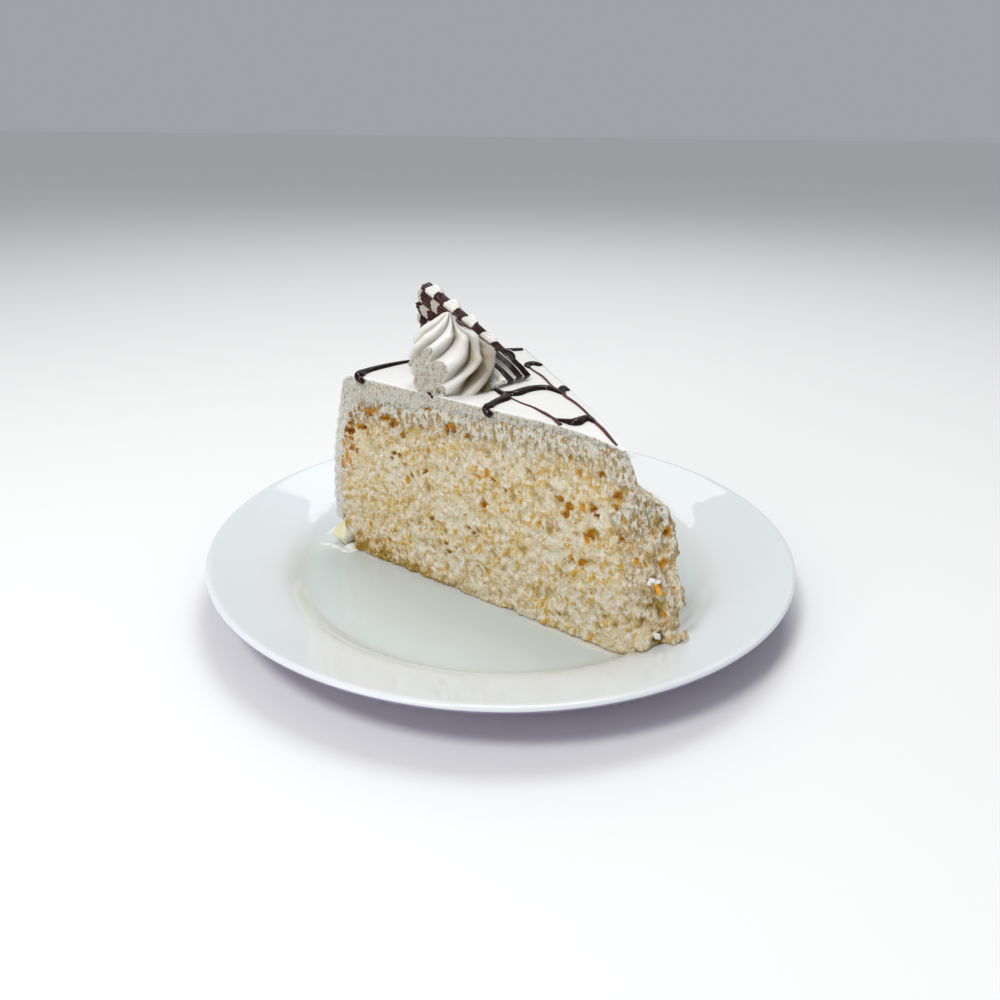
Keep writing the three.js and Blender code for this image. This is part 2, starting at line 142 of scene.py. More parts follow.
gloss = add_node(tree, "MapRange", {"Value": film, 1: 0.3, 2: 0.7, 3: 0.02, 4: 0.06})
worn = add_node(tree, "Mix", {"Factor": bare, 2: gloss, 3: 0.75})
tree.links.new(worn.outputs[0], shader.inputs["Roughness"])
ripple = add_node(tree, "Bump", {"Height": film, "Strength": 0.12, "Distance": 0.0004})
tree.links.new(ripple.outputs["Normal"], shader.inputs["Normal"])

bm = bmesh.new()
ring = [bm.verts.new((r / 1000, 0, z / 1000)) for r, z in plate_face + plate_back]
rim = [bm.edges.new(pair) for pair in zip(ring, ring[1:])]
bmesh.ops.spin(bm, geom=ring + rim, cent=(0, 0, 0), axis=(0, 0, 1), angle=2 * math.pi,
               steps=PLATE_STEPS, use_merge=True)
plate = as_piece(bm, "porcelain_plate", porcelain, "porcelain", "plate")
rounding = plate.modifiers.new("rounding", "SUBSURF")
rounding.levels = rounding.render_levels = 2

# Sponge
# A wedge of white sponge soaked in three milks. The knife tears its open crumb and drags
# cream over it, and the point has crumbled away under the icing, down to the plate.
AXIS_X, AXIS_Y = 36.9, -62.9
NEAR_ANGLE, FAR_ANGLE = 143.3, 103.1
CAKE_TOP = 82.0
ICING_FOOT = 15.5
CAKE_FOOT_RADIUS = 123.0
# How far the broken point reaches past the cake's middle, at each height
REACH_HEIGHTS = [5, 9, 17, 28, 38, 47, 59, 68, 74, 79, 82]
REACHES = [15.2, 15.0, 13.8, 13.9, 11.7, 9.4, 7.4, 6.2, 3.6, 0.6, 0.0]
CRUMB_BEIGE = "EBDCB3"
CRUMB_PALE = "F0E6CE"
CRUMB_LIT = "F6F1E4"
CRUMB_RECESS_SHADE = "B89645"
CRUMB_TAN = "E2B034"
CRUST_BROWN = "BC7418"
CREAM_COAT = "F0EEE2"
STRAND_GAP = "C0943A"
HOLE_AMBER = "E09A10"
HOLE_SHADOW_AND_BURNT = "7E3A04"
BASE_YELLOW = "B8902A"
BASE_SHADE_BROWN = "8A6616"
SPONGE_CELLS = (230, 28, 124)
# Torn holes that stand out on the near cut: distance from the point, height, width, depth
torn_holes = [
    (110.7, 69.0, 4.6, 2.0), (100.5, 68.3, 3.4, 1.9), (98.2, 67.0, 3.2, 1.9), (103.8, 67.4, 2.4, 1.5),
    (120.6, 62.0, 2.6, 1.8), (120.9, 58.8, 3.2, 2.2), (121.2, 55.0, 2.4, 1.8), (121.8, 50.6, 2.0, 1.6),
    (117.0, 61.2, 2.6, 1.9), (114.6, 61.4, 2.2, 2.3), (118.6, 51.4, 2.6, 1.2), (104.3, 72.6, 2.0, 1.3),
    (116.2, 70.2, 2.8, 1.2), (71.0, 70.0, 3.4, 2.2), (68.4, 70.6, 2.4, 2.0), (93.5, 63.5, 2.8, 1.8),
    (83.4, 68.2, 1.8, 1.4), (81.0, 76.4, 1.6, 1.5), (61.2, 69.6, 2.2, 1.7), (98.6, 54.6, 1.6, 1.7),
    (99.0, 52.4, 1.5, 1.9), (96.2, 54.6, 1.9, 1.5), (101.6, 51.6, 2.0, 1.4), (82.6, 50.6, 2.0, 1.7),
    (89.4, 48.0, 1.8, 1.6), (53.4, 45.6, 3.0, 2.2), (80.0, 31.9, 2.4, 2.0), (60.9, 33.4, 2.0, 1.9),
    (58.6, 32.2, 1.6, 1.5), (56.0, 34.0, 2.2, 2.0), (71.9, 24.0, 2.0, 1.5), (71.3, 21.2, 2.2, 1.8),
    (21.1, 55.6, 3.0, 1.9), (18.2, 54.2, 3.2, 2.0), (18.9, 51.4, 3.0, 1.8), (8.8, 56.2, 2.4, 2.3),
    (7.2, 54.3, 2.2, 2.3), (9.7, 46.4, 3.2, 2.2), (-1.6, 50.4, 2.6, 2.2), (-2.8, 48.4, 2.8, 2.1),
    (16.6, 35.2, 2.2, 1.8), (12.2, 34.6, 2.8, 1.8), (20.0, 12.4, 1.8, 1.6), (6.5, 68.8, 2.6, 1.6),
    (0.6, 63.4, 2.6, 1.5), (0.2, 58.6, 2.2, 1.4), (44.5, 53.4, 1.8, 1.5), (50.1, 55.7, 2.0, 1.4),
    (111.0, 12.6, 2.2, 1.0), (97.5, 12.2, 2.0, 1.6),
]
# Broad dents and lumps at the broken point: where, how wide and how deep
dents = [
    (49.7, -70.5, 27.5, 3.6, 3.0), (53.0, -70.5, 13.5, 2.3, 5.5), (47.4, -72.0, 13.0, 3.2, -5.5),
    (57.6, -71.5, 14.5, 2.4, -4.6), (56.8, -70.3, 33.0, 2.2, -1.4), (57.3, -70.2, 27.5, 2.0, -0.8),
    (52.5, -70.5, 41.0, 3.0, 1.2), (47.5, -70.3, 52.0, 2.4, 1.0), (46.0, -69.5, 33.0, 2.6, -0.9),
    (44.1, -68.3, 8.0, 6.0, -0.8), (42.1, -66.8, 18.0, 5.0, 0.8), (54.5, -70.3, 20.0, 2.2, -0.9),
]


def smooth(x, low, high):
    t = np.clip((np.asarray(x, float) - low) / (high - low), 0, 1)
    return t * t * (3 - 2 * t)


def mix(a, b, t):
    return a + (b - a) * t


def outer_radius(z):
    rise = np.maximum(z - 30, 0) / 52
    belly = 133.7 - 10.2 * rise ** 1.6
    side = np.clip(4 - (CAKE_TOP - z), 0, 4)
    corner = 4 - np.sqrt(16 - side ** 2)
    return mix(CAKE_FOOT_RADIUS, belly, smooth(z, ICING_FOOT - 2, ICING_FOOT + 3)) - corner


def top_height(r):
    return CAKE_TOP - 2.9 * np.maximum(1 - r / 26, 0) ** 2


def top_icing(r):
    return 2.9 + 2.5 * smooth(r, 0, 62) + 3.9 * smooth(r, 76, 96) + 1.6 * smooth(r, 104, 118)


def wall_icing(z):
    return 4.8 + 2.3 * smooth(z, 54, 70)


def cake_place(u, v, z, radius):
    """Where a share u from the point to the back, and v from the near cut to the far one, lies."""
    near, sag = math.radians(NEAR_ANGLE), 1 - smooth(z, 0, CAKE_TOP)
    far = math.radians(FAR_ANGLE) - 7 / radius * sag
    reach = np.interp(z, REACH_HEIGHTS, REACHES)
    ledge = 0.8 + 10.5 * (1 - smooth(z, 58, 67)) + z * 0.002
    angle = mix(near, far, v)
    tip_x = -reach * math.cos(near) + ledge * v
    tip_y = -reach * math.sin(near) + 0.16 * ledge * v
    x = AXIS_X + mix(tip_x, radius * np.cos(angle), u)
    y = AXIS_Y + mix(tip_y, radius * np.sin(angle), u)
    return x, y, ledge


def plate_height(x, y):
    rs, zs = zip(*plate_face[:14])
    return np.interp(np.hypot(x, y), rs, zs)


def noises(points, cell, octaves=1, shift=0.0):
    if octaves == 1:
        return np.array([noise.noise(Vector(p)) for p in points / cell + shift])
    return np.array([noise.fractal(Vector(p), 1.0, 2.0, octaves) for p in points / cell + shift])


def pores(points, cell, share, wide):
    """Round holes about one cell apart: 1 at the middle of a hole, 0 outside it."""
    depth = np.zeros(len(points))
    for i, p in enumerate(points / cell):
        far, at = noise.voronoi(Vector(p))
        luck = noise.cell(at[0] * 37.7) % 1
        if luck < share:
            depth[i] = max(0, 1 - far[0] / (wide * (0.55 + 0.9 * luck / share)))
    return depth


def cut_foam(points, shown):
    """Upright pores and drag marks where the knife went through whipped cream."""
    foam, drag = np.zeros(len(points)), np.zeros(len(points))
    slanted = points[shown] * [1, 1, 0.65] - points[shown][:, 2:] * [0.2, 0, 0]
    warped = slanted + 0.45 * np.stack([noises(slanted, 1.2, 1, s) for s in (1.1, 2.2, 3.3)], 1)
    foam[shown], drag[shown] = pores(warped, 1.8, 0.25, 0.4), noises(slanted, 1.8, 3, 9.1)
    return foam, drag


def block_of_cells(cells):
    """A closed block from 0 to 1 each way, cut into cells along x, y and z."""
    bm = bmesh.new()
    bmesh.ops.create_cube(bm, size=1)
    bmesh.ops.translate(bm, verts=bm.verts, vec=(0.5, 0.5, 0.5))
    for axis, count in enumerate(cells):
        along = [e for e in bm.edges if abs(e.verts[0].co[axis] - e.verts[1].co[axis]) > 1e-6]
        if count > 1:
            bmesh.ops.subdivide_edges(bm, edges=along, cuts=count - 1, use_grid_fill=True)
    return bm


def shares_of(bm):
    return np.array([v.co for v in bm.verts]).T


def set_places(bm, x, y, z):
    for vert, x1, y1, z1 in zip(bm.verts, x, y, z):
        vert.co = (x1 / 1000, y1 / 1000, z1 / 1000)


def paint(bm, name, values):
    layer = bm.verts.layers.float.new(name)
    for vert, value in zip(bm.verts, values):
        vert[layer] = value


near_out = np.array([-math.sin(math.radians(NEAR_ANGLE)), math.cos(math.radians(NEAR_ANGLE)), 0])
far_out = np.array([math.sin(math.radians(FAR_ANGLE)), -math.cos(math.radians(FAR_ANGLE)), 0])
tip_out = np.array([0.158, -0.987, 0])

bm = block_of_cells(SPONGE_CELLS)
u, v, w = shares_of(bm)
z = mix(PLATE_FLOOR, CAKE_TOP - top_icing(u * 120), w)
for _ in range(3):
    bulge = mix(CAKE_FOOT_RADIUS, outer_radius(np.maximum(z, 22)) - wall_icing(z), smooth(z, 9, 16))
    corner = np.clip(4 - (72 - z), 0, 4)
    radius = bulge - (4 - np.sqrt(16 - corner ** 2)) + 0.4
    x, y, ledge = cake_place(u, v, z, radius)
    bottom = plate_height(x, y) + 0.25
    layer = top_icing(u * radius)
    top = top_height(u * radius) - layer + np.minimum(3.0, 0.5 * layer)
    z = mix(bottom, top, w)
points = np.stack([x, y, z], 1)
cut = (v < 1e-6) | (v > 1 - 1e-6) | (u < 1e-6) | (z < 17) & (u > 1 - 1e-6)
bulk = smooth(ledge + 0.7 * u * radius, 0.6, 7)
set_places(bm, x, y, z)
bmesh.ops.recalc_face_normals(bm, faces=bm.faces)
out_x, out_y, out_z = np.array([vert.normal for vert in bm.verts]).T
# Both sides of the upright edge at the point move the same way, so that no crack opens there
at_edge = smooth(np.hypot(u * radius, v * ledge), 5, 0) * ((v < 1e-6) | (u < 1e-6))
both = (near_out + tip_out) / np.linalg.norm(near_out + tip_out)
out_x, out_y, out_z = (mix(n, b, at_edge) for n, b in zip((out_x, out_y, out_z), both))
along = (x - AXIS_X) * math.cos(math.radians(NEAR_ANGLE)) + (y - AXIS_Y) * math.sin(math.radians(NEAR_ANGLE))
aside = points @ near_out
lumps, grit, hole, beads, wobble = (np.zeros(len(points)) for _ in range(5))
# The knife drew the crumb out along a slant, so the pattern is stretched that way
dragged = np.stack([0.91 * along - 0.42 * z, aside, 0.6 * (0.42 * along + 0.91 * z)], 1)[cut]
warped = dragged + 0.6 * np.stack([noises(dragged, 1.8, 1, s) for s in (11.3, 27.1, 43.9)], 1)
lumps[cut] = noises(dragged, 3.6, 3)
grit[cut] = noises(dragged, 1.35, 2, 5.5)
beads[cut] = np.maximum(pores(warped + 20, 2.4, 0.6, 0.5), 0.9 * pores(warped + 90, 3.8, 0.35, 0.42))
hole[cut] = np.maximum(pores(warped, 5.0, 0.13, 0.25), 0.8 * pores(warped + 50, 2.8, 0.10, 0.3))
wobble[cut] = noises(warped, 1.3, 2, 3.3)
# shade is each torn hole moved a little, so that one side of the hole gets a painted shadow
torn, shade = np.zeros(len(points)), np.zeros(len(points))
on_near = np.flatnonzero((v < 1e-6) | (u < 1e-6) & (v < 0.3))
for r0, z0, wide, deep in torn_holes:
    for values, lift in ((torn, 0.0), (shade, 0.55)):
        far = np.hypot(along[on_near] - r0, (z[on_near] - z0 - lift) * 1.25) / (wide * 0.6)
        dip = np.clip(1.1 - far + 1.1 * wobble[on_near], 0, 1)
        values[on_near] = np.maximum(values[on_near], dip * deep / 2.2)
dent = sum(deep * np.exp(-((x - x0) ** 2 + (y - y0) ** 2 + (z - z0) ** 2) / wide ** 2)
           for x0, y0, z0, wide, deep in dents)
seam_height = top_height(u * radius) - layer
under_icing = smooth(z + 3.0 * lumps, seam_height - 13, seam_height + 0.5)
foam, drag = cut_foam(points, cut & (z > seam_height - 8))
flush = 0.6 * drag - 0.9 * foam - 1.1 * smooth(z, seam_height - 1.5, seam_height + 2.5)
dug = np.maximum(hole, torn)
dome = np.sqrt(np.clip(beads, 0, 1)) * (1 - np.clip(dug * 2.5, 0, 1))
tip_face = (u < 1e-6) * 1.0
crumb = (lumps + 0.65 * grit + 0.6 * dome * (1 - 0.4 * under_icing) - 1.1 * hole - 1.8 * torn) * bulk - dent
near_tip = np.maximum(tip_face, (v < 1e-6) * smooth(u * radius, 14, 1))
craggy = near_tip * (1.1 * noises(points, 6.0, 2, 40.0) + 0.9 * noises(points, 2.6, 2, 60.0)) * bulk
rounded = 1.6 * np.clip(1 - (u * radius + v * ledge) / 4, 0, 1) ** 2 * bulk
step = (mix(crumb, flush, smooth(z, seam_height - 6, seam_height - 1)) + craggy - rounded) * cut
step = step * np.where(u > 1 - 1e-6, 0.4, 1.0)
x, y, z = x + out_x * step, y + out_y * step, z + out_z * step * 0.6
z = np.maximum(z, plate_height(x, y) + 0.25)
set_places(bm, x, y, z)
bmesh.ops.recalc_face_normals(bm, faces=bm.faces)
faces_from_light = np.array([vert.normal for vert in bm.verts]) @ [0.46, -0.35, -0.81]
crust = smooth(1 - (radius - along) / 7 + 1.2 * lumps + 1.5 * grit, 0.85, 1.15) * (v < 1e-6)
crust = crust * smooth(z, 30, 50) * (1 - smooth(z, 62, 70))
shelf = mix(0.4, 1.0, smooth(z + 4 * lumps, 48, 60)) * smooth(z, 14, 24) * smooth(near_tip + 0.6 * lumps, 0.3, 1.0)
stain = sum(np.exp(-((x - x0) ** 2 + (y + 70.3) ** 2 / 9 + (z - z0) ** 2 / 2) / 2.5) for x0, z0 in
            ((46.8, 54.3), (43.1, 44.3), (52.0, 45.5), (55.0, 22.0)))
paint(bm, "hollow", np.clip(dug + 0.35 * crust + 0.3 * stain, 0, 1))
burnt = 0.8 * crust * smooth(z, 52, 59)
# The deep mark is painted shadow on one side of each torn hole and in the middle of the round holes, with the real
# burnt brown at the crust's top
paint(bm, "deep", np.clip(np.maximum(torn - shade, 0) * 2.2 + smooth(hole, 0.5, 1.0) * 0.6 + burnt, 0, 1))
# The crumb mark is painted shade on the cut's bumps where they face down and away from the light
paint(bm, "crumb", smooth(faces_from_light, 0.05, 0.55) * cut * (1 - 0.8 * smooth(z, seam_height - 5, seam_height)))
# The low mark is painted shade in the hollows of the relief and in the dents
paint(bm, "low", smooth(-crumb - 0.6 * np.abs(dent), 0.1, 1.2) * (1 - under_icing))
paint(bm, "crust", crust)
paint(bm, "white", np.clip(np.maximum(under_icing, shelf), 0, 1) * (1 - np.clip(dug * 2, 0, 1)))

# Soaked crumb: a beige paste of cream and milk with yellower crumbs standing out of it, amber
# pores, and a dense yellow layer along the bottom. It is matt, with a wet sheen on the paste.
# Painted highlights and painted shade on the crumbs, hollows and holes stand in for light on the relief.
crumb_finish, tree, shader = new_finish(
    "milk_soaked_sponge", Subsurface_Weight=0.2, Subsurface_Scale=0.002, Subsurface_Radius=(1.0, 0.75, 0.4), IOR=1.4)
place = add_node(tree, "TexCoord").outputs["Object"]
marks = {name: add_node(tree, "Attribute", attribute_name=name).outputs["Fac"]
         for name in ("hollow", "deep", "crumb", "low", "crust", "white")}
patch = add_node(tree, "TexNoise", {"Vector": place, "Scale": 140.0, "Detail": 4.0, "Roughness": 0.6})
pale = add_node(tree, "MapRange", {"Value": patch, 1: 0.40, 2: 0.62})
paste = add_node(tree, "Mix", {"Factor": pale, 6: linear(CRUMB_BEIGE), 7: linear(CRUMB_PALE)}, data_type="RGBA")
bend = add_node(tree, "TexNoise", {"Vector": place, "Scale": 700.0, "Detail": 2.0})
bent = add_node(tree, "VectorMath", {0: bend.outputs["Color"], 1: (0.0009, 0.0009, 0.0009)}, operation="MULTIPLY")
moved = add_node(tree, "VectorMath", {0: place, 1: bent}, operation="ADD")
# Crumbs about a millimetre wide, too small for the mesh. Their upper-left sides are painted pale,
# a painted highlight, and their lower-right sides yellow-tan, partly the crumbs' own colour and partly
# painted shade, so the colour follows the fall of the relief. The crumbs are drawn out along the slant of the cut.
below = add_node(tree, "VectorMath", {0: moved, 1: (0.00046, -0.00034, -0.00062)}, operation="ADD")
drawn = {"Rotation": (0.0, -0.33, 0.0), "Scale": (1.0, 1.0, 1.7)}
here = add_node(tree, "Mapping", {"Vector": moved, **drawn}, vector_type="TEXTURE")
there = add_node(tree, "Mapping", {"Vector": below, **drawn}, vector_type="TEXTURE")
grain = {"Scale": 380.0, "Detail": 3.0, "Roughness": 0.55}
lumpy = add_node(tree, "TexNoise", {"Vector": here, **grain})
lower = add_node(tree, "TexNoise", {"Vector": there, **grain})
fall = add_node(tree, "Math", {0: lumpy, 1: lower}, operation="SUBTRACT")
crowd = add_node(tree, "TexNoise", {"Vector": moved, "Scale": 115.0, "Detail": 2.5, "Roughness": 0.6})
often = add_node(tree, "MapRange", {"Value": crowd, 1: 0.42, 2: 0.55, 3: 0.1, 4: 1.0})
lower_side = add_node(tree, "Math", {0: lumpy, 1: 0.5, 2: fall}, operation="MULTIPLY_ADD")
lee_shade = add_node(tree, "MapRange", {"Value": lower_side, 1: 0.21, 2: 0.38})
lit = add_node(tree, "MapRange", {"Value": fall, 1: -0.02, 2: -0.12, 4: 0.9})
lee_crumb_shade = add_node(tree, "Math", {0: lee_shade, 1: often}, operation="MULTIPLY")
pits = add_node(tree, "TexVoronoi", {"Vector": moved, "Scale": 430.0})
pit = add_node(tree, "MapRange", {"Value": pits.outputs["Distance"], 1: 0.28, 2: 0.14})
luck = add_node(tree, "SeparateColor", {"Color": pits.outputs["Color"]})
zone = add_node(tree, "MapRange", {"Value": marks["white"], 1: 0.0, 2: 0.6})
likely = add_node(tree, "Math", {0: zone, 1: -0.22, 2: luck.outputs[1]}, operation="MULTIPLY_ADD")
few = add_node(tree, "MapRange", {"Value": likely, 1: 0.16, 2: 0.12})
pit_on = add_node(tree, "Math", {0: pit, 1: few}, operation="MULTIPLY")
mesh_lee_shade = add_node(tree, "Math", {0: marks["crumb"], 1: 0.8}, operation="MULTIPLY")
all_lee_shade = add_node(tree, "Math", {0: mesh_lee_shade, 1: lee_crumb_shade}, operation="MAXIMUM")
shut = add_node(tree, "MapRange", {"Value": marks["white"], 1: 0.0, 2: 1.0, 3: 0.95, 4: 0.35})
tan_and_shade = add_node(tree, "Math", {0: all_lee_shade, 1: shut}, operation="MULTIPLY")
# The bottom stayed dense and yellow-brown, in a strip that is taller at the back
height = add_node(tree, "SeparateXYZ", {"Vector": place})
uneven = add_node(tree, "Math", {0: patch, 1: 0.014, 2: height.outputs["Z"]}, operation="MULTIPLY_ADD")
torn_top = add_node(tree, "Math", {0: lumpy, 1: 0.016, 2: uneven}, operation="MULTIPLY_ADD")
taller = add_node(tree, "MapRange", {"Value": height.outputs["X"], 1: -0.034, 2: -0.050, 4: 0.0036})
top_edge = add_node(tree, "Math", {0: torn_top, 1: taller}, operation="SUBTRACT")
low = add_node(tree, "MapRange", {"Value": top_edge, 1: 0.0248, 2: 0.0222})
left = add_node(tree, "MapRange", {"Value": height.outputs["X"], 1: 0.005, 2: -0.028, 4: 0.95})
dense = add_node(tree, "Math", {0: low, 1: left}, operation="MULTIPLY")
# On the bottom strip the crumbs' upper sides are painted beige, a painted highlight, and their lee sides brown, a
# painted shade
dull = add_node(tree, "Mix", {"Factor": lit, 6: linear(BASE_YELLOW), 7: linear(CRUMB_BEIGE)}, data_type="RGBA")
base_with_shade = add_node(tree, "Mix", {"Factor": lee_crumb_shade, 6: dull.outputs[2], 7: linear(BASE_SHADE_BROWN)}, data_type="RGBA")
# Under the icing the knife pulled the cream down in upright strands with yellow pits between
upright = add_node(tree, "Mapping", {"Vector": moved, "Rotation": (0.0, -0.2, 0.0),
                                     "Scale": (1.0, 1.0, 2.0)}, vector_type="TEXTURE")
strands = add_node(tree, "TexNoise", {"Vector": upright, "Scale": 620.0, "Detail": 2.0, "Roughness": 0.6})
coated = add_node(tree, "Math", {0: strands, 1: 1.5, 2: marks["white"]}, operation="MULTIPLY_ADD")
coat = add_node(tree, "MapRange", {"Value": coated, 1: 1.0, 2: 1.8, 4: 0.85})
gap = add_node(tree, "MapRange", {"Value": strands, 1: 0.50, 2: 0.37, 4: 0.9})
between_strands = add_node(tree, "Math", {0: gap, 1: zone}, operation="MULTIPLY")
edge = add_node(tree, "MapRange", {"Value": marks["hollow"], 1: 0.12, 2: 0.36})
specked = add_node(tree, "Math", {0: pit_on, 1: between_strands}, operation="MAXIMUM")
pored = add_node(tree, "Math", {0: edge, 1: pit_on}, operation="MAXIMUM")
colour = paste.outputs[2]
for share, tone in ((tan_and_shade, linear(CRUMB_TAN)), (lit, linear(CRUMB_LIT)), (dense, base_with_shade.outputs[2]),
                    (marks["low"], linear(CRUMB_RECESS_SHADE)), (marks["crust"], linear(CRUST_BROWN)),
                    (coat, linear(CREAM_COAT)), (between_strands, linear(STRAND_GAP)),
                    (pored, linear(HOLE_AMBER)), (marks["deep"], linear(HOLE_SHADOW_AND_BURNT))):
    colour = add_node(tree, "Mix", {"Factor": share, 6: colour, 7: tone}, data_type="RGBA").outputs[2]
tree.links.new(colour, shader.inputs["Base Color"])
sheen = add_node(tree, "MapRange", {"Value": all_lee_shade, 1: 0.0, 2: 1.0, 3: 0.45, 4: 0.8})
tree.links.new(sheen.outputs[0], shader.inputs["Roughness"])
fine = add_node(tree, "TexNoise", {"Vector": place, "Scale": 1100.0, "Detail": 3.0, "Roughness": 0.65})
pulled = add_node(tree, "Math", {0: strands, 1: zone}, operation="MULTIPLY")
wavy = add_node(tree, "Math", {0: lumpy, 1: pulled})
up = add_node(tree, "Math", {0: fine, 1: 0.35, 2: wavy}, operation="MULTIPLY_ADD")
down = add_node(tree, "Math", {0: specked, 1: -0.15, 2: up}, operation="MULTIPLY_ADD")
relief = add_node(tree, "Bump", {"Height": down, "Strength": 1.0, "Distance": 0.0033})
tree.links.new(relief.outputs["Normal"], shader.inputs["Normal"])
as_piece(bm, "soaked_sponge", crumb_finish, "soaked_sponge", "sponge")

# Icing
# Whipped cream spread over the whole cake with a palette knife before it was cut: thin at the
# middle, thick over the back edge, with a scraped wall. The knife leaves its cut face foamy.
CREAM_WHITE = "F3F2EE"
CREAM_PORE = "C0984A"
CREAM_SOAKED = "E6DEB0"
VALLEY_SHADE = "86724C"
CREAM_CUT = "E7E4D8"
ICING_CELLS = (300, 64, 14)
# Share of the cells that go to the top, before the coat turns down into the wall
TOP_PART = 0.62
TOP_INNER_RADIUS = 113.5

bm = block_of_cells(ICING_CELLS)
path, v, thick = shares_of(bm)
top_share = np.clip(path / TOP_PART, 0, 1)
wall_share = np.clip((path - TOP_PART) / (1 - TOP_PART), 0, 1)
on_wall = path > TOP_PART
out_z = np.where(on_wall, CAKE_TOP - (CAKE_TOP - ICING_FOOT) * wall_share ** 1.35, CAKE_TOP)
out_r = np.where(on_wall, outer_radius(out_z), top_share * outer_radius(CAKE_TOP))
in_r_top = top_share * TOP_INNER_RADIUS
overlap = 4.0 * smooth(in_r_top, 1, 10)
in_z = np.where(on_wall, mix(CAKE_TOP - top_icing(TOP_INNER_RADIUS) - overlap, ICING_FOOT + 0.6, wall_share ** 1.1),
                CAKE_TOP - top_icing(in_r_top) - overlap)
in_r = np.where(on_wall, mix(TOP_INNER_RADIUS, outer_radius(np.maximum(in_z, 24)) - wall_icing(in_z) - overlap,
                             smooth(wall_share, 0, 0.12)), in_r_top)
droop = top_height(out_r) - CAKE_TOP
r = mix(in_r, out_r, thick)
z = mix(in_z, out_z, thick) + droop
radius = outer_radius(np.clip(z, ICING_FOOT + 3, CAKE_TOP - 4))
x, y, ledge = cake_place(np.clip(r / radius, 0, 1), v, z, radius)
points = np.stack([x, y, z], 1)
cut = (v < 1e-6) | (v > 1 - 1e-6) | (path < 1e-6)
foam, drag = cut_foam(points, cut)
depth_in = np.hypot(out_r - r, out_z + droop - z)
layer = np.hypot(out_r - in_r, out_z - in_z) - overlap
ragged = np.zeros(len(points))
ragged[cut] = noises(points[cut] * [1, 1, 0.6], 2.4, 3, 91.0)
seam = smooth(depth_in + 3.2 * ragged, layer - 1.6, layer + 2.6)
foam = foam * (1 - 0.7 * on_wall)
relief = 0.6 * drag * smooth(depth_in, -1, 2.5) * (1 - 0.5 * on_wall)
relief = relief - 0.7 * foam * smooth(depth_in, 0.4, 2.5) - 1.7 * seam
for shown, way in ((v < 1e-6, near_out), (v > 1 - 1e-6, far_out)):
    x, y, z = (a + shown * relief * n for a, n in zip((x, y, z), way))
outside = thick > 1 - 1e-6
angle = np.arctan2(y - AXIS_Y, x - AXIS_X)
scrape = np.zeros(len(points))
face = np.flatnonzero(outside)
scrape[face] = noises(np.stack([points[face, 0] * 0.25, points[face, 1] * 0.25, points[face, 2]], 1), 4.2, 2, 17.0)
ridge = outside * on_wall * smooth(wall_share, 0.05, 0.25) * (0.8 * scrape + 0.3 * np.sin(z * 1.15 + 2 * scrape))
x, y = x + ridge * np.cos(angle), y + ridge * np.sin(angle)
swept = np.zeros(len(points))
swept[face] = noises(points[face] * [1, 0.5, 1], 16.0, 2, 31.0)
z = z + outside * (1 - on_wall) * smooth(out_r, 2, 14) * 0.22 * swept
set_places(bm, x, y, z)
# Low on the wall the cut face takes less of the cut tone, so it is painted brighter there: painted light against the
# shade at the wall's foot
paint(bm, "cut", cut * smooth(depth_in, 0.0, 0.7) * (1 - 0.25 * on_wall * smooth(z, 76, 60)))
paint(bm, "hollow", np.maximum(foam, 0.1 * cut * on_wall * smooth(z, 75, 50)))
paint(bm, "valley_shade", np.zeros(len(points)))

# Whipped cream: bright, dense and satin where the knife spread it, dull and pitted where cut
icing_finish, tree, shader = new_finish(
    "whipped_cream", Subsurface_Weight=0.2, Subsurface_Scale=0.004, Subsurface_Radius=(1.0, 0.9, 0.75), IOR=1.4)
place = add_node(tree, "TexCoord").outputs["Object"]
opened, hollow, valley_shade, soaked = (add_node(tree, "Attribute", attribute_name=name).outputs["Fac"]
                                  for name in ("cut", "hollow", "valley_shade", "soaked"))
fine = add_node(tree, "TexNoise", {"Vector": place, "Scale": 1300.0, "Detail": 2.0, "Roughness": 0.6})
upright = add_node(tree, "Mapping", {"Vector": place, "Rotation": (0.0, -0.2, 0.0), "Scale": (1.0, 1.0, 1.6)},
                   vector_type="TEXTURE")
froths = {"Scale": 560.0, "Detail": 2.0, "Roughness": 0.55}
foamy = add_node(tree, "TexNoise", {"Vector": upright, **froths})
under = add_node(tree, "VectorMath", {0: upright, 1: (0.00034, -0.00025, -0.00028)}, operation="ADD")
lower = add_node(tree, "TexNoise", {"Vector": under, **froths})
# The lower sides of the foam's bumps on the cut are painted tan, a painted shade, along with the real pores
fall = add_node(tree, "Math", {0: foamy, 1: lower}, operation="SUBTRACT")
lee_shade = add_node(tree, "MapRange", {"Value": fall, 1: 0.03, 2: 0.13, 4: 0.6})
froth = add_node(tree, "TexVoronoi", {"Vector": upright, "Scale": 700.0})
luck = add_node(tree, "SeparateColor", {"Color": froth.outputs["Color"]})
few = add_node(tree, "MapRange", {"Value": luck.outputs[1], 1: 0.28, 2: 0.22})
bubble = add_node(tree, "MapRange", {"Value": froth.outputs["Distance"], 1: 0.32, 2: 0.12, 4: 0.6})
popped = add_node(tree, "Math", {0: bubble, 1: few}, operation="MULTIPLY")
pits_and_shade = add_node(tree, "Math", {0: popped, 1: lee_shade}, operation="MAXIMUM")
cut_pits_and_shade = add_node(tree, "Math", {0: pits_and_shade, 1: opened}, operation="MULTIPLY")
edge = add_node(tree, "MapRange", {"Value": hollow, 1: 0.1, 2: 0.7, 4: 0.8})
pores_and_shade = add_node(tree, "Math", {0: cut_pits_and_shade, 1: edge}, operation="MAXIMUM")
cream = linear(CREAM_WHITE)
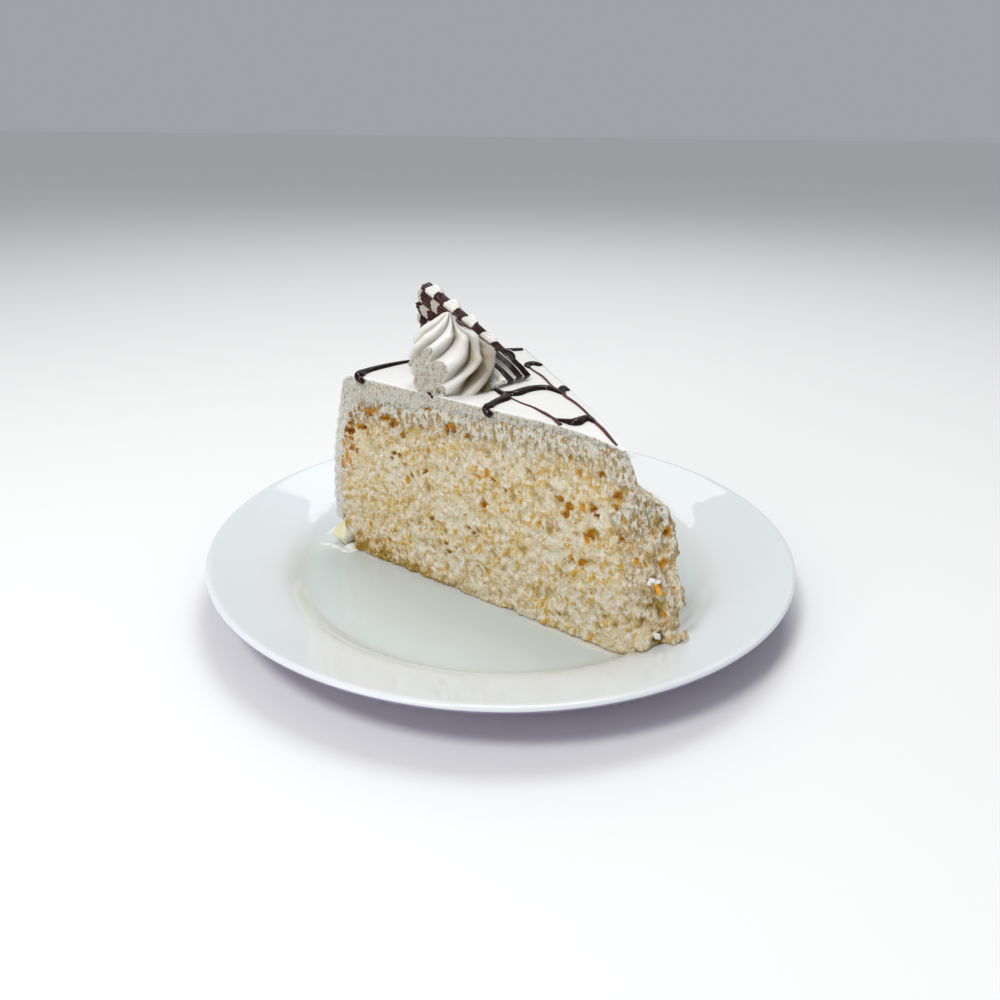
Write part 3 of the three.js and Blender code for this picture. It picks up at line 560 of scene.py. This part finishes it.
for share, tone in ((opened, CREAM_CUT), (pores_and_shade, CREAM_PORE), (valley_shade, VALLEY_SHADE), (soaked, CREAM_SOAKED)):
    cream = add_node(tree, "Mix", {"Factor": share, 6: cream, 7: linear(tone)}, data_type="RGBA").outputs[2]
tree.links.new(cream, shader.inputs["Base Color"])
satin = add_node(tree, "MapRange", {"Value": opened, 1: 0.0, 2: 1.0, 3: 0.36, 4: 0.7})
tree.links.new(satin.outputs[0], shader.inputs["Roughness"])
force = add_node(tree, "MapRange", {"Value": opened, 1: 0.0, 2: 1.0, 3: 0.03, 4: 1.0})
raised = add_node(tree, "Math", {0: foamy, 1: 1.2, 2: fine}, operation="MULTIPLY_ADD")
sunk = add_node(tree, "Math", {0: popped, 1: -0.4, 2: raised}, operation="MULTIPLY_ADD")
relief = add_node(tree, "Bump", {"Height": sunk, "Strength": force, "Distance": 0.0024})
tree.links.new(relief.outputs["Normal"], shader.inputs["Normal"])
as_piece(bm, "cream_icing", icing_finish, "whipped_cream", "icing")

# Sauce web
# Chocolate sauce piped in rings on the wet cream, then dragged towards the point with a pick.
# It lies on the icing as a flat glossy bead, and runs over the near cut at two places.
SAUCE_BLACK = "1C0905"
SAUCE_THIN = "6A2814"
SAUCE_FLAT = 0.75
RING_WIDTH, DRIP_WIDTH, DRAG_WIDTH = 3.9, 3.4, 1.0
# Each line as distance from the point, angle, and how thick it is there
thick_lines = [
    [(114.6, 143.4, 1.0), (116.2, 142.6, 1.2), (117.4, 141.0, 0.9), (118.4, 138, 0.8), (118.8, 133.5, 0.7),
     (118.6, 129.0, 0.5)],
    [(117.5, 121, 0.6), (118, 115, 0.7), (118, 109, 0.8), (117.6, 104, 0.6)],
    [(68.1, 126.5, 0.4), (63.2, 127.3, 0.6), (59.2, 128.0, 0.7), (55.0, 129.6, 1.0), (54.5, 134.0, 0.9),
     (53.9, 137.8, 0.8), (52.9, 141.0, 0.8), (52.6, 142.6, 0.9)],
    [(60.9, 127.2, 0.5), (57.9, 126.3, 0.8), (56.8, 124.0, 1.1), (58.8, 119.7, 1.0), (59.8, 115.6, 1.0),
     (59.5, 111.0, 0.9), (56.8, 108.9, 0.8), (52.5, 107.8, 0.6), (49.8, 107.3, 0.3)],
    [(54.2, 103.9, 0.5), (57.0, 104.5, 0.9), (56.4, 105.5, 0.9), (53.4, 106.4, 0.5), (48.5, 107.4, 0.3)],
    [(27.0, 134.4, 0.3), (22.9, 132.4, 0.7), (21.2, 131.0, 1.0), (20.6, 127.5, 1.1), (22.0, 119.1, 0.9),
     (22.4, 113.5, 0.9), (21.3, 111.1, 0.7), (18.5, 110.8, 0.4)],
    [(90.4, 103.8, 0.6), (93.0, 104.6, 0.8), (93.6, 106.1, 0.8), (91.7, 107.5, 0.7), (87.6, 107.3, 0.3)],
]
thin_lines = [
    [(59.2, 128.0, 0.8), (51.0, 129.2, 0.7), (46.8, 129.6, 0.8), (41.7, 129.4, 0.9), (36.2, 131.3, 1.2),
     (33.2, 132.2, 1.3), (29.3, 134.4, 0.9), (25.4, 135.2, 0.9), (22.9, 132.4, 1.2)],
    [(36.2, 131.3, 0.7), (30.5, 133.0, 1.0), (27.6, 136.0, 1.0), (22.9, 142.6, 1.4)],
    [(87.6, 107.3, 0.9), (81.3, 107.1, 0.8), (76.6, 106.7, 1.0), (70.1, 106.9, 0.9), (62.5, 107.6, 0.8),
     (57.1, 107.6, 1.0), (53.0, 107.2, 1.2), (46.7, 107.8, 1.2), (41.5, 107.0, 1.1), (34.9, 106.9, 1.0),
     (27.5, 107.8, 0.9), (21.6, 109.6, 1.1)],
    [(18.5, 110.8, 1.2), (13.7, 110.4, 1.3), (8.5, 113, 1.3), (4.5, 118, 1.1), (2.0, 125, 0.8)],
]
# Where two rings run over the near cut: distance from the point, height, how far out, thickness
drips = [
    [(52.8, 82.2, -0.6, 0.9), (53.0, 81.8, 0.6, 0.8), (52.4, 80.9, 0.9, 0.7), (51.2, 80.2, 0.8, 0.8),
     (50.4, 79.6, 0.5, 0.6)],
    [(115.6, 82.2, -0.8, 1.0), (115.0, 81.8, 0.5, 0.9), (113.6, 81.2, 0.9, 0.8), (112.0, 80.4, 0.6, 0.6)],
]


def sauce_line(route, width, name, finish):
    line = bpy.data.curves.new(name, "CURVE")
    line.dimensions = "3D"
    line.bevel_depth = width / 2000
    line.bevel_resolution = 5
    line.use_fill_caps = True
    line.resolution_u = 14
    spline = line.splines.new("NURBS")
    spline.points.add(len(route) - 1)
    spline.use_endpoint_u = True
    spline.order_u = 3
    for point, (px, py, pz, size) in zip(spline.points, route):
        point.co = (px / 1000, py / 1000, pz / 1000, 1)
        point.radius = size * (1 + 0.12 * noise.noise(Vector((px, py, pz)) * 0.31))
    shape = bpy.data.objects.new(name, line)
    bpy.context.scene.collection.objects.link(shape)
    bm = bmesh.new()
    bm.from_mesh(shape.evaluated_get(bpy.context.evaluated_depsgraph_get()).to_mesh())
    bpy.data.objects.remove(shape)
    for vert in bm.verts:
        r = math.hypot(vert.co.x * 1000 - AXIS_X, vert.co.y * 1000 - AXIS_Y)
        level = float(top_height(r)) / 1000
        if vert.co.z > level:
            vert.co.z = level + (vert.co.z - level) * SAUCE_FLAT + 0.0001
    as_piece(bm, name, finish, "chocolate_sauce", "icing")


def on_top(r, angle, size):
    a = math.radians(angle)
    return AXIS_X + r * math.cos(a), AXIS_Y + r * math.sin(a), float(top_height(r)) + 0.2 * size, size


def on_cut(r, z, out, size):
    a = math.radians(NEAR_ANGLE)
    return AXIS_X + r * math.cos(a) + out * near_out[0], AXIS_Y + r * math.sin(a) + out * near_out[1], z, size


# Chocolate sauce: nearly black and wet where it is thick, red-brown where it was dragged thin
sauce_finish = new_finish("chocolate_sauce", Base_Color=linear(SAUCE_BLACK), Roughness=0.05, IOR=1.5,
                          Specular_IOR_Level=0.28)[0]
drag_finish, tree, shader = new_finish("dragged_sauce", Roughness=0.25, IOR=1.5)
place = add_node(tree, "TexCoord").outputs["Object"]
patch = add_node(tree, "TexNoise", {"Vector": place, "Scale": 260.0, "Detail": 2.0})
streak = add_node(tree, "Mix", {"Factor": patch, 6: linear(SAUCE_BLACK), 7: linear(SAUCE_THIN)}, data_type="RGBA")
tree.links.new(streak.outputs[2], shader.inputs["Base Color"])
for n, route in enumerate(thick_lines):
    sauce_line([on_top(*at) for at in route], RING_WIDTH, f"sauce_ring_{n + 1}", sauce_finish)
for n, route in enumerate(drips):
    sauce_line([on_cut(*at) for at in route], DRIP_WIDTH, f"sauce_drip_{n + 1}", sauce_finish)
for n, route in enumerate(thin_lines):
    sauce_line([on_top(*at) for at in route], DRAG_WIDTH, f"dragged_line_{n + 1}", drag_finish)

# Rosette
# Stiff whipped cream piped through a star nozzle: a twist of sharp lobes that rises to a peak.
# It stands on the icing near the back, and the cut took a slice off its near side.
ROSETTE_X, ROSETTE_Y, ROSETTE_FOOT = -17.6, -4.8, 81.7
ROSETTE_LOBES, ROSETTE_TWIST, ROSETTE_TALL = 8, 150, 27.6
# How far the near cut lies from the middle of the plate
NEAR_PLANE = 28.41
# Outline of the rosette: height, lean of its middle, and its reach to the left and to the right
rosette_outline = np.array([
    (0, 0, 15.0, 13.8), (2, 0, 16.2, 14.6), (5, 0, 16.6, 15.0), (10, 0.2, 16.4, 15.2), (13, 0.5, 15.8, 15.0),
    (14.5, 0.8, 15.4, 13.4), (16, 1.0, 14.9, 12.0), (17.5, 1.3, 14.2, 11.0), (19.5, 1.7, 12.7, 10.2),
    (20.6, 1.9, 11.8, 8.8), (21.6, 2.1, 10.7, 5.4), (22.6, 2.2, 9.6, 3.8), (24.5, 2.3, 6.8, 2.6),
    (26, 2.4, 4.4, 1.6), (27, 2.4, 2.2, 0.8), (27.6, 2.4, 0, 0),
])

bm = bmesh.new()
bmesh.ops.create_uvsphere(bm, u_segments=320, v_segments=140, radius=1)
sphere = np.array([vert.co for vert in bm.verts])
turn = np.arctan2(sphere[:, 1], sphere[:, 0])
side = np.arcsin(np.clip(sphere[:, 2], -1, 1)) / math.pi + 0.5
foot = np.clip(side / 0.1, 0, 1)
rise = ROSETTE_TALL * (1 - (1 - np.clip((side - 0.1) / 0.9, 0, 1)) ** 1.2)
heights, leans, lefts, rights = rosette_outline.T
phase = turn * ROSETTE_LOBES / (2 * math.pi) + 0.16 * np.sin(2 * turn + 1.0) + 0.10 * np.sin(3 * turn)
share = phase - np.floor(phase)
which = np.mod(np.floor(phase), ROSETTE_LOBES)
from_crest = np.sqrt((2 * share ** 0.8 - 1) ** 2 + 0.006)
crest = np.clip(1 - from_crest ** 1.9, 0, 1)
angle = turn + np.radians(ROSETTE_TWIST) * rise / ROSETTE_TALL + 0.10 * np.sin(3 * turn + 0.25 * rise)
to_left = 0.5 - 0.5 * np.cos(angle)
towards_cut = np.exp(-((np.degrees(angle) % 360 - 233) / 42) ** 2)
groove = (0.32 + 0.07 * np.sin(which * 2.4 + 0.7)) * (1 - 0.65 * towards_cut * (1 - smooth(rise, 8, 15)))
body = mix(np.interp(rise, heights, rights), np.interp(rise, heights, lefts), to_left) * foot
body = body * (1 + 0.11 * towards_cut * (1 - smooth(np.abs(rise - 6), 3, 9)))
fold = 0.17 * np.exp(-((np.degrees(angle) % 360 - 262 - 5.5 * rise) / 12) ** 2) * (1 - smooth(rise, 14, 19))
grow = 1.0 - groove * (1 - crest) * smooth(rise, -2, 2.5) - fold
x = ROSETTE_X - np.interp(rise, heights, leans) + body * grow * np.cos(angle)
y = ROSETTE_Y + body * grow * np.sin(angle)
z = ROSETTE_FOOT + rise
points = np.stack([x, y, z], 1)
soft = noises(points, 9.0, 2, 2.0)
x, y = x + 1.1 * soft * np.cos(angle) * foot, y + 1.1 * soft * np.sin(angle) * foot
past = np.stack([x, y, z], 1) @ near_out - NEAR_PLANE
sliced = past > 0
x, y = x - sliced * past * near_out[0], y - sliced * past * near_out[1]
points = np.stack([x, y, z], 1)
foam, drag = cut_foam(points, sliced)
bite = (0.6 * drag - 0.9 * foam) * smooth(past, 0, 0.6)
x, y = x + bite * near_out[0], y + bite * near_out[1]
set_places(bm, x, y, z)
paint(bm, "cut", smooth(past, 0, 0.3))
# The lobes are painted darker in their creases, on their lee sides and low on the right where the ruffle's shadow
# falls: painted shade. The cut face gets a little of it.
in_shade = 0.45 + 0.55 * smooth(np.cos(angle), -0.3, 0.6)
leeside = smooth(share, 0.4, 0.9)
lower_right = smooth(np.cos(angle), 0.1, 0.9) * smooth(rise, 22, 12)
shadow = 0.80 * (1 - crest) ** 1.2 + 0.40 * leeside + 0.2 + 0.45 * lower_right
paint(bm, "valley_shade", mix(np.clip(shadow, 0, 1) * in_shade, 0.12, sliced))
paint(bm, "hollow", foam)
as_piece(bm, "cream_rosette", icing_finish, "piped_cream", "rosette")

# Chocolate ruffle
# Dark and white chocolate spread in stripes and scraped off into a thin ribbed sheet with folds.
# It stands on one end behind the rosette and leans on it, twisting as it rises.
DARK_CHOCOLATE = "180906"
RIB_SHEEN_BROWN = "74301F"
WHITE_CHOCOLATE = "F6F4EC"
WHITE_IN_SHADE = "B9B3A6"
RUFFLE_CELLS = (190, 130, 4)
RUFFLE_STRIPES = 5.6
RUFFLE_RIBS = 19
# Where one scraped fold ends and the next begins, as shares from the low edge to the high one
RUFFLE_ROWS = np.array([0, 0.18, 0.36, 0.56, 0.78, 1.0])
foot_back, foot_front = np.array([10.8, 4.7, 83.7]), np.array([-3.9, -11.3, 83.7])
top_end, low_end = np.array([-29.5, 27, 114.7]), np.array([-31, 27, 92.7])


def ruffle_point(s, q):
    reach = 1 + np.interp(q, [0.2, 0.33, 0.49, 0.58, 0.73, 0.87, 1.0], [0.06, 0.08, 0.12, 0.07, 0.08, 0.05, 0])
    s, q = (s * reach)[:, None], q[:, None]
    high = mix(foot_back, top_end, s) + np.array([0, 0, 1.5]) * np.sin(math.pi * np.clip(s, 0, 1))
    low = mix(foot_front, low_end, s)
    up = (high - low) / np.linalg.norm(high - low, axis=1)[:, None]
    lobe = np.maximum(np.cos(2 * math.pi * (RUFFLE_STRIPES * s - 0.08)), 0) ** 0.6
    return mix(low, high, q) + up * smooth(q, 0.8, 1.0) * (1.6 * lobe - 0.3) * smooth(s, 0.04, 0.12)


bm = block_of_cells(RUFFLE_CELLS)
s, q, t = shares_of(bm)
mid = ruffle_point(s, q)
along = ruffle_point(s + 0.01, q) - ruffle_point(s - 0.01, q)
across = ruffle_point(s, q + 0.01) - ruffle_point(s, q - 0.01)
normal = np.cross(along, across)
normal = normal / np.linalg.norm(normal, axis=1)[:, None]
row = np.clip(np.searchsorted(RUFFLE_ROWS, q, side="right") - 1, 0, len(RUFFLE_ROWS) - 2)
within = (q - RUFFLE_ROWS[row]) / (RUFFLE_ROWS[row + 1] - RUFFLE_ROWS[row])
roll = np.sqrt(np.clip(1 - (2 * within - 1) ** 2, 0, 1))
uneven = noises(mid, 7.0, 2, 8.0)
rib_turn = q * 2 * math.pi * RUFFLE_RIBS + 2.0 * noises(mid, 9.0, 1, 4.0)
half = (0.55 + 1.15 * roll + 0.35 * uneven * roll) * mix(0.55, 1.0, smooth(s, 0, 0.1))
fold = 0.5 * np.cos(math.pi * row) * roll
places = mid + normal * (fold + (2 * t - 1) * (half + 0.16 * np.sin(rib_turn) * roll))[:, None]
places[:, 2] = np.maximum(places[:, 2], CAKE_TOP + 0.05)
set_places(bm, *places.T)
# White stripes cross the folds, half a stripe further along in each next one, and are narrower
# low down. By the foot the folds are dark fingers with white between them, on a white underside.
stripe = np.abs((RUFFLE_STRIPES * s - 0.08 + 0.46 * (4 - row) + 0.10 * uneven) % 1 - 0.5)
striped = stripe - np.array([0.36, 0.36, 0.34, 0.36, 0.25])[row] + 0.08 * (row < 4) * smooth(s, 0.7, 0.95)
fingers = np.where(q < 0.34, 0.3, np.abs(within - 0.5) - 0.37 + 0.05 * uneven)
paint(bm, "white", mix(fingers, striped, smooth(s + 0.03 * uneven, 0.20, 0.27)))
# The white of the lower folds, and of the top fold's lower part, is painted grey: painted shade under the top fold.
# Near the foot the underside stays white.
paint(bm, "white_shade", np.where(row < 4, 1 - 0.8 * smooth(s, 0.27, 0.2) * (q < 0.4), smooth(within, 0.35, 0.0)))
paint(bm, "rib", mix(1.5 * math.pi, rib_turn, smooth(s, 0.25, 0.33)))

# Dark and white chocolate: hard, smooth and semi-glossy; the fine scraped ribs are red-brown on their crests, partly
# the chocolate's tone and partly a painted sheen
ruffle_finish, tree, shader = new_finish("striped_chocolate", Roughness=0.3, IOR=1.5, Specular_IOR_Level=0.25)
place = add_node(tree, "TexCoord").outputs["Object"]
field, ribs, white_shade = (add_node(tree, "Attribute", attribute_name=name).outputs["Fac"]
                      for name in ("white", "rib", "white_shade"))
ragged = add_node(tree, "TexNoise", {"Vector": place, "Scale": 420.0, "Detail": 2.0})
wander = add_node(tree, "Math", {0: ragged, 1: 0.12, 2: -0.06}, operation="MULTIPLY_ADD")
edge = add_node(tree, "Math", {0: field, 1: wander}, operation="ADD")
white = add_node(tree, "MapRange", {"Value": edge, 1: -0.012, 2: 0.012})
ribbed = add_node(tree, "Math", {0: ribs}, operation="SINE")
# The worn noise only breaks up the painted sheen along the rib crests
worn = add_node(tree, "TexNoise", {"Vector": place, "Scale": 300.0, "Detail": 1.0})
lit = add_node(tree, "Math", {0: ribbed, 1: worn}, operation="MULTIPLY")
brown = add_node(tree, "MapRange", {"Value": lit, 1: 0.22, 2: 0.52, 4: 0.95})
dark = add_node(tree, "Mix", {"Factor": brown, 6: linear(DARK_CHOCOLATE), 7: linear(RIB_SHEEN_BROWN)}, data_type="RGBA")
pale = add_node(tree, "Mix", {"Factor": white_shade, 6: linear(WHITE_CHOCOLATE), 7: linear(WHITE_IN_SHADE)}, data_type="RGBA")
two = add_node(tree, "Mix", {"Factor": white, 6: dark.outputs[2], 7: pale.outputs[2]}, data_type="RGBA")
tree.links.new(two.outputs[2], shader.inputs["Base Color"])
as_piece(bm, "chocolate_ruffle", ruffle_finish, "striped_chocolate", "chocolate_fan")

# Foot border
# Small beads of the same cream, piped on the plate in a row that seals the foot of the back wall.
# Each is pressed flat where it sits, with a pointed side where the nozzle left it.
BEADS = 11
BEAD_RING, FIRST_BEAD, LAST_BEAD = 130.3, 142.56, 101.13
BEAD_HALF = (0.006, 0.0056, 0.0051)

bm = bmesh.new()
# Without a seed, noise_vector gives other values in each run
noise.seed_set(1)
for n in range(BEADS):
    # The first one, at the cut, is smaller and lies turned
    angle = math.radians(mix(FIRST_BEAD, LAST_BEAD, n / (BEADS - 1)))
    size, twist = (1 + 0.06 * math.sin(n * 2.3), 0) if n else (0.86, 0.64)
    long, wide, tall = BEAD_HALF
    middle = Vector((AXIS_X + BEAD_RING * math.cos(angle), AXIS_Y + BEAD_RING * math.sin(angle), 9.8)) / 1000
    stretch = Matrix.Rotation(angle + twist, 4, "Z") @ Matrix.Diagonal((long * size, wide * size, tall, 1))
    bead = bmesh.ops.create_uvsphere(bm, u_segments=40, v_segments=24, radius=1)["verts"]
    for vert in bead:
        edge = sum(abs(c) ** 1.25 for c in vert.co) ** (1 / 1.25)
        vert.co = vert.co * 1.18 / edge + 0.05 * noise.noise_vector(vert.co * 1.4 + Vector((n, 0, 0)))
    bmesh.ops.transform(bm, verts=bead, matrix=Matrix.Translation(middle) @ stretch)
for vert in bm.verts:
    vert.co.z = max(vert.co.z, (PLATE_FLOOR + 0.1) / 1000)
# Milk has soaked into the first bead, the one at the cut, and turned it yellow; the others get a little painted
# valley shade
each = len(bm.verts) // BEADS
for mark, first, others in (("cut", 0.0, 0.0), ("hollow", 0.0, 0.0), ("valley_shade", 0.0, 0.2), ("soaked", 0.9, 0.0)):
    paint(bm, mark, [first] * each + [others] * (len(bm.verts) - each))
as_piece(bm, "cream_beads", icing_finish, "piped_cream", "foot_border")

# Cream and milk on the plate
# Smears of cream that the server left beside the slice, and a thin film of the soaking milk
# that ran out along the cut. Each lies on the glaze as a flat drop with an uneven edge.
MILK_GREY = "DADCD2"
# Place, half its length and width, turn, thickness
smears = [(-74.4, 14.2, 3.4, 1.0, 0.2, 0.6), (-70.2, 12.0, 3.6, 1.7, 2.5, 1.0), (-66.0, 8.9, 3.4, 1.6, 2.4, 0.8),
          (-62.6, 8.6, 2.4, 1.5, 0.3, 1.0), (-63.8, 12.0, 3.2, 2.6, 0.4, 1.8), (48.4, -71.4, 2.0, 1.0, 0.1, 1.1)]
films = [(31.0, -60.2, 11.0, 1.7, 2.5, 0.25), (43.6, -69.6, 6.0, 1.6, 2.6, 0.25), (17.0, -49.6, 9.0, 1.0, 2.5, 0.12),
         (-55.0, 3.6, 5.0, 0.9, 2.5, 0.1)]
# Soaking milk: a thin grey-white film, as wet and glossy as the glaze under it
milk_finish = new_finish("soaking_milk", Base_Color=linear(MILK_GREY), Roughness=0.1, IOR=1.35)[0]
for name, drops, finish in (("cream_smears", smears, icing_finish), ("milk_film", films, milk_finish)):
    bm = bmesh.new()
    for px, py, half, wide, turn, thick in drops:
        drop = bmesh.ops.create_uvsphere(bm, u_segments=64, v_segments=16, radius=1)["verts"]
        for vert in drop:
            reach = 1 + 0.28 * noise.fractal(Vector((vert.co.x, vert.co.y, px)) * 1.6, 1.0, 2.0, 3)
            a, b = vert.co.x * half * reach, vert.co.y * wide * reach
            at_x = px + a * math.cos(turn) - b * math.sin(turn)
            at_y = py + a * math.sin(turn) + b * math.cos(turn)
            lift = float(plate_height(at_x, at_y)) + 0.04 + thick * max(vert.co.z, 0)
            vert.co = Vector((at_x, at_y, lift)) / 1000
    for mark in ("cut", "hollow", "valley_shade"):
        paint(bm, mark, [0.0] * len(bm.verts))
    as_piece(bm, name, finish, "whipped_cream")

# Bits on the cut
# A sliver of orange fruit and dabs of cream that the knife left in the broken point, crumbs that
# fell beside it, and specks of sauce under the rosette. They are stuck on by the wet cream.
FRUIT_ORANGE = "F09A00"
FRUIT_STREAK = "F8BC40"
# Place and size along x, y and z, and turn
fruit_bits = [((51.2, -71.4, 33.6), (0.8, 0.7, 2.2), -0.45), ((50.2, -71.4, 35.6), (0.5, 0.5, 1.0), -0.3)]
dabs = [((49.0, -71.0, 37.1), (1.3, 0.7, 0.9), 0.3), ((50.5, -71.1, 36.6), (1.2, 0.6, 0.7), -0.4),
        ((48.1, -70.9, 36.1), (0.8, 0.6, 0.8), 0.2), ((52.2, -71.0, 16.1), (1.5, 0.8, 1.0), 0.6)]
specks = [((-26.2, -15.9, 81.9), (1.2, 0.5, 0.45), 0.6), ((-25.2, -16.6, 81.2), (0.8, 0.45, 0.7), 0.2)]
brown_specks = [((-22.6, -18.6, 83.7), (0.4, 0.3, 0.25), 0.2), ((-20.7, -20.0, 83.4), (0.3, 0.3, 0.35), 0.0)]
fallen = [((61.0, -71.5, 16.4), (1.5, 1.2, 1.1), 0.2), ((62.4, -67.2, 15.5), (0.9, 0.9, 0.7), 0.9)]
# Wet orange fruit: clear orange flesh with paler streaks, under a wet gloss
fruit_finish, tree, shader = new_finish("wet_orange_fruit", Roughness=0.12, IOR=1.45)
place = add_node(tree, "TexCoord").outputs["Object"]
flesh = add_node(tree, "TexNoise", {"Vector": place, "Scale": 700.0, "Detail": 2.0})
juicy = add_node(tree, "Mix", {"Factor": flesh, 6: linear(FRUIT_ORANGE), 7: linear(FRUIT_STREAK)}, data_type="RGBA")
tree.links.new(juicy.outputs[2], shader.inputs["Base Color"])
for name, bits, finish, slot in (("fruit_bits", fruit_bits, fruit_finish, "fruit"),
                                 ("cream_dab", dabs, icing_finish, "whipped_cream"),
                                 ("sauce_specks", specks, sauce_finish, "chocolate_sauce"),
                                 ("brown_specks", brown_specks, drag_finish, "chocolate_sauce"),
                                 ("fallen_crumbs", fallen, crumb_finish, "soaked_sponge")):
    bm = bmesh.new()
    for middle, sizes, turn in bits:
        bit = bmesh.ops.create_icosphere(bm, subdivisions=5, radius=1)["verts"]
        for vert in bit:
            vert.co = vert.co * (1 + 0.35 * noise.fractal(vert.co * 1.1 + Vector(middle), 1.0, 2.0, 3))
        shape = Matrix.Rotation(turn, 4, "Y") @ Matrix.Diagonal((*(s / 1000 for s in sizes), 1))
        bmesh.ops.transform(bm, verts=bit, matrix=Matrix.Translation(Vector(middle) / 1000) @ shape)
    # The crumb and low marks give the fallen crumbs an even share of the sponge's painted shade
    for mark, value in (("hollow", 0.0), ("deep", 0.0), ("crumb", 0.4), ("low", 0.3), ("crust", 0.0), ("white", 0.0),
                        ("cut", 0.0), ("valley_shade", 0.0)):
        paint(bm, mark, [value] * len(bm.verts))
    as_piece(bm, name, finish, slot)

# Floor, light and camera
# A plain pale table top far larger than the plate. A window behind gives the glaze its bright
# patches, and three soft boxes light the slice. The camera looks down from before the plate.
FLOOR_WHITE = "F8F8F6"
SKY_WHITE = "F0F4FA"
# The camera's place, tilt, roll and lens were fitted to the rim and the slice's edges
CAMERA_PLACE = (-0.000535, -0.30672, 0.16963)
CAMERA_TILT, CAMERA_ROLL, CAMERA_LENS = 66.05, 0.0121, 30.06
bm = bmesh.new()
bmesh.ops.create_grid(bm, x_segments=1, y_segments=1, size=40)
floor_mesh = bpy.data.meshes.new("floor")
bm.to_mesh(floor_mesh)
bm.free()
floor = bpy.data.objects.new("floor", floor_mesh)
bpy.context.scene.collection.objects.link(floor)
floor.data.materials.append(new_finish("pale_floor", Base_Color=linear(FLOOR_WHITE), Roughness=0.9)[0])
floor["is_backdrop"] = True

scene = bpy.context.scene
scene.view_settings.view_transform = "Standard"
world = bpy.data.worlds.new("studio")
scene.world = world
world.use_nodes = True
sky = world.node_tree.nodes["Background"].inputs
sky["Color"].default_value, sky["Strength"].default_value = linear(SKY_WHITE), 0.40


def softbox(name, place, target, size, power):
    lamp = bpy.data.lights.new(name, "AREA")
    lamp.shape = "RECTANGLE"
    lamp.size, lamp.size_y = size
    lamp.energy = power
    held = bpy.data.objects.new(name, lamp)
    scene.collection.objects.link(held)
    held.location = place
    held.rotation_mode = "QUATERNION"
    held.rotation_quaternion = (Vector(target) - Vector(place)).to_track_quat("-Z", "Y")


softbox("window_behind", (0.0, 1.075, 1.02), (0, 0, 0.02), (1.1, 0.2), 1.1)
softbox("overhead", (0.12, 0.35, 1.15), (0, 0, 0.05), (0.5, 0.5), 4.5)
softbox("front_top", (-0.35, -0.55, 0.95), (0, 0, 0.05), (0.24, 0.24), 5.2)
softbox("front_fill", (-0.80, -0.90, 0.50), (0, 0, 0.05), (0.6, 0.6), 2.6)

camera = bpy.data.objects.new("camera", bpy.data.cameras.new("camera"))
scene.collection.objects.link(camera)
camera.data.sensor_width = 36
camera.data.lens = CAMERA_LENS
camera.data.clip_start, camera.data.clip_end = 0.01, 20
camera.matrix_world = (Matrix.Translation(CAMERA_PLACE) @ Matrix.Rotation(math.radians(CAMERA_TILT), 4, "X")
                       @ Matrix.Rotation(CAMERA_ROLL, 4, "Z"))
scene.camera = camera

low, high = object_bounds()
